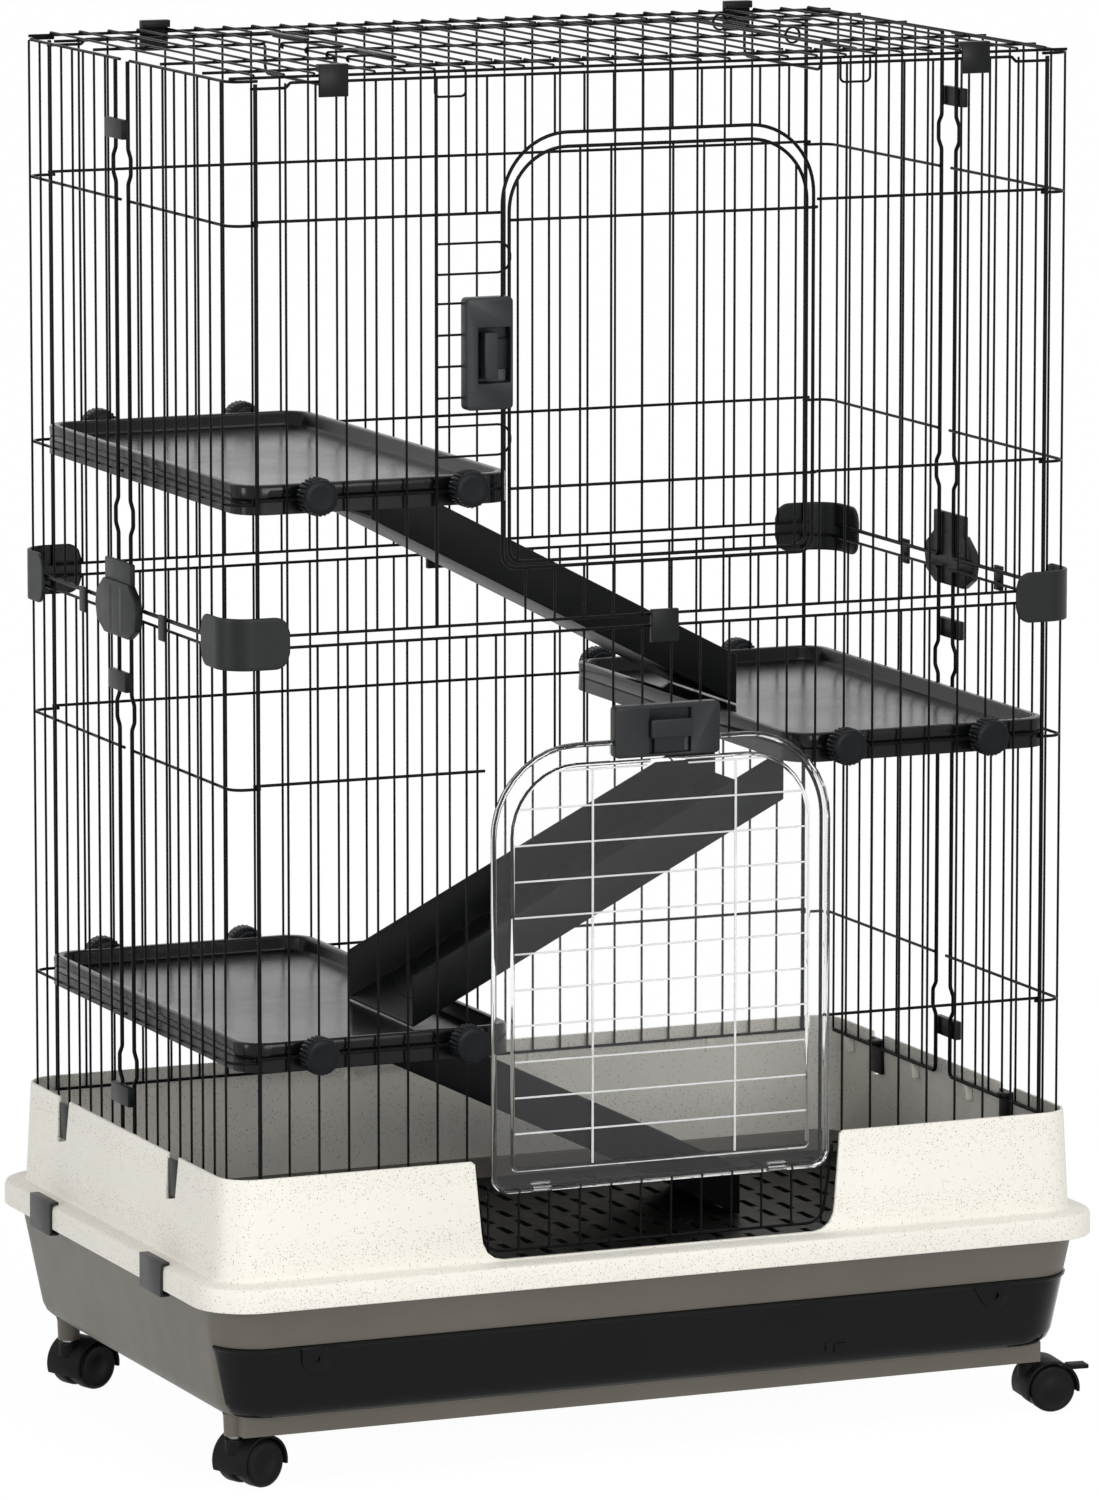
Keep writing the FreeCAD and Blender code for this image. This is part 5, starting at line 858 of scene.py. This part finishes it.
# Ramps
# Black moulded troughs with upright sides. Low curved ridges across the floor give a foothold.

ramp_black, shader, place = finish_of("ramp_plastic", Specular_IOR_Level=0.1)
feed(shader, Base_Color=place.noise(12.0).blend((0.003, 0.0034, 0.0038, 1), (0.0055, 0.006, 0.0068, 1)),
     Roughness=0.34 + 0.14 * place.noise(45.0), Normal=bumped(place.noise(800.0), 0.15, 0.0003))

RAMPS = {"upper": (-150.0, 796.7, 182.0, 580.3, 80.0), "middle": (150.0, 567.3, -182.0, 357.9, -85.0),
         "lower": (-150.0, 345.3, 182.0, 142.3, 70.0)}
RAMP_SIDE, RAMP_FLOOR = 42, 2.7
RIDGES, FIRST_RIDGE, RIDGE_ENDS = 15, 18, 44
RIDGE_HALF, RIDGE_BOW, RIDGE_RADIUS, RIDGE_STEPS = 64, 26, 0.9, 10


def rod(form, points, radius, sides):
    """A bent round rod through points, made of rings with a skin between them."""
    rings = []
    for number, point in enumerate(points):
        back = points[max(number - 1, 0)]
        ahead = points[min(number + 1, len(points) - 1)]
        turn = (Vector(ahead) - Vector(back)).to_track_quat("Z", "Y").to_matrix().to_4x4()
        rings.append(bmesh.ops.create_circle(form, cap_ends=False, segments=sides, radius=radius,
                                             matrix=Matrix.Translation(point) @ turn)["verts"])
    bridged(form, rings)
    form.faces.new(rings[0])
    form.faces.new(rings[-1])


for name, (high_x, high_z, low_x, low_z, middle_y) in RAMPS.items():
    run = low_x - high_x
    slope = (low_z - high_z + RAMP_SIDE) / run
    stretch = math.hypot(1, slope)
    sign = 1 if run > 0 else -1
    form = rounded_copy("ramp_" + name, 0.0011, 3)
    ridges = bmesh.new()
    for number in range(RIDGES):
        along = FIRST_RIDGE + number * (abs(run) * stretch - RIDGE_ENDS) / (RIDGES - 1)
        points = []
        for step in range(RIDGE_STEPS + 1):
            turn = math.pi * step / RIDGE_STEPS
            x = high_x + sign * (along + RIDGE_BOW * math.sin(turn)) / stretch
            z = high_z - RAMP_SIDE + slope * (x - high_x) + RAMP_FLOOR * stretch
            points.append((x, middle_y - RIDGE_HALF * math.cos(turn), z))
        crown_x = points[RIDGE_STEPS // 2][0]
        if (crown_x - low_x) * sign < -4:
            rod(ridges, points, RIDGE_RADIUS, 6)
    bmesh.ops.recalc_face_normals(ridges, faces=ridges.faces)
    millimetres(ridges)
    joined(form, ridges)
    shade_smooth(form)
    new_piece("ramp_%s_trough" % name, form, ramp_black, "cage", ("ramp_" + name,))


# Castors
# Matt black twin wheels under a moulded hood that swivels on a plated steel stem. The front
# right one has a foot brake.

castor_black, shader, place = finish_of("castor_plastic", Specular_IOR_Level=0.09)
feed(shader, Base_Color=place.noise(40.0).blend((0.005, 0.005, 0.0052, 1), (0.009, 0.009, 0.0092, 1)),
     Roughness=0.48 + 0.12 * place.noise(70.0), Normal=bumped(place.noise(1200.0), 0.2, 0.0002))
wheel_black, shader, place = finish_of("wheel_plastic", Specular_IOR_Level=0.1)
feed(shader, Base_Color=place.noise(40.0).blend((0.005, 0.005, 0.0052, 1), (0.009, 0.009, 0.0092, 1)),
     Roughness=0.44 + 0.12 * place.noise(70.0), Normal=bumped(place.noise(1500.0), 0.2, 0.0002))
plated, shader, place = finish_of("plated_steel", Metallic=1.0)
feed(shader, Base_Color=place.noise(60.0).blend((0.55, 0.55, 0.56, 1), (0.68, 0.68, 0.7, 1)),
     Roughness=0.24 + 0.12 * place.noise(160.0))
softened("castor_stems", plated, "cage", 0.0003)

CASTORS = {"front_left": (-357, -200, 20.6), "front_right": (357, -200, -6.9),
           "back_left": (-357, 188, 20.6), "back_right": (357, 188, 20.6)}
WHEEL_PROFILE = [(4.6, 3.0), (4.6, 15.0), (5.2, 18.6), (6.6, 19.8), (8.2, 20.0), (16.5, 20.0),
                 (18.4, 19.4), (19.6, 17.9), (20.0, 16.6), (19.7, 16.0), (19.7, 7.5), (20.0, 7.0),
                 (20.0, 0.0)]
WHEEL_RADIUS, TRAIL, AXLE_RADIUS, AXLE_LENGTH = 20, 16, 3.0, 12.0
for name, (x, y, turn) in CASTORS.items():
    softened("castor_hood_" + name, castor_black, "hood_" + name, 0.0009, 3)
    form = bmesh.new()
    for side in (-1, 1):
        half = bmesh.new()
        chain = [half.verts.new((side * across, 0, reach)) for across, reach in WHEEL_PROFILE]
        edges = [half.edges.new(pair) for pair in zip(chain, chain[1:])]
        bmesh.ops.spin(half, geom=chain + edges, cent=(0, 0, 0), axis=(1, 0, 0), angle=math.tau,
                       steps=48, use_merge=True)
        bmesh.ops.remove_doubles(half, verts=half.verts, dist=1e-4)
        bmesh.ops.holes_fill(half, edges=[edge for edge in half.edges if len(edge.link_faces) == 1])
        bmesh.ops.recalc_face_normals(half, faces=half.faces)
        joined(form, half)
    bmesh.ops.create_cone(form, cap_ends=True, segments=20, radius1=AXLE_RADIUS,
                          radius2=AXLE_RADIUS, depth=AXLE_LENGTH,
                          matrix=Matrix.Rotation(math.pi / 2, 4, "Y"))
    under_stem = Matrix.Translation((x, y, 0)) @ Matrix.Rotation(math.radians(turn), 4, "Z")
    trailing = Matrix.Translation((TRAIL, 0, WHEEL_RADIUS)) @ Matrix.Rotation(math.pi / 2, 4, "Z")
    bmesh.ops.transform(form, matrix=under_stem @ trailing, verts=form.verts)
    millimetres(form)
    shade_smooth(form)
    new_piece("wheels_%s_pair" % name, form, wheel_black, "wheels_" + name,
              ("castor_wheels_" + name,))
softened("castor_brake_lever", castor_black, "brake", 0.0006)
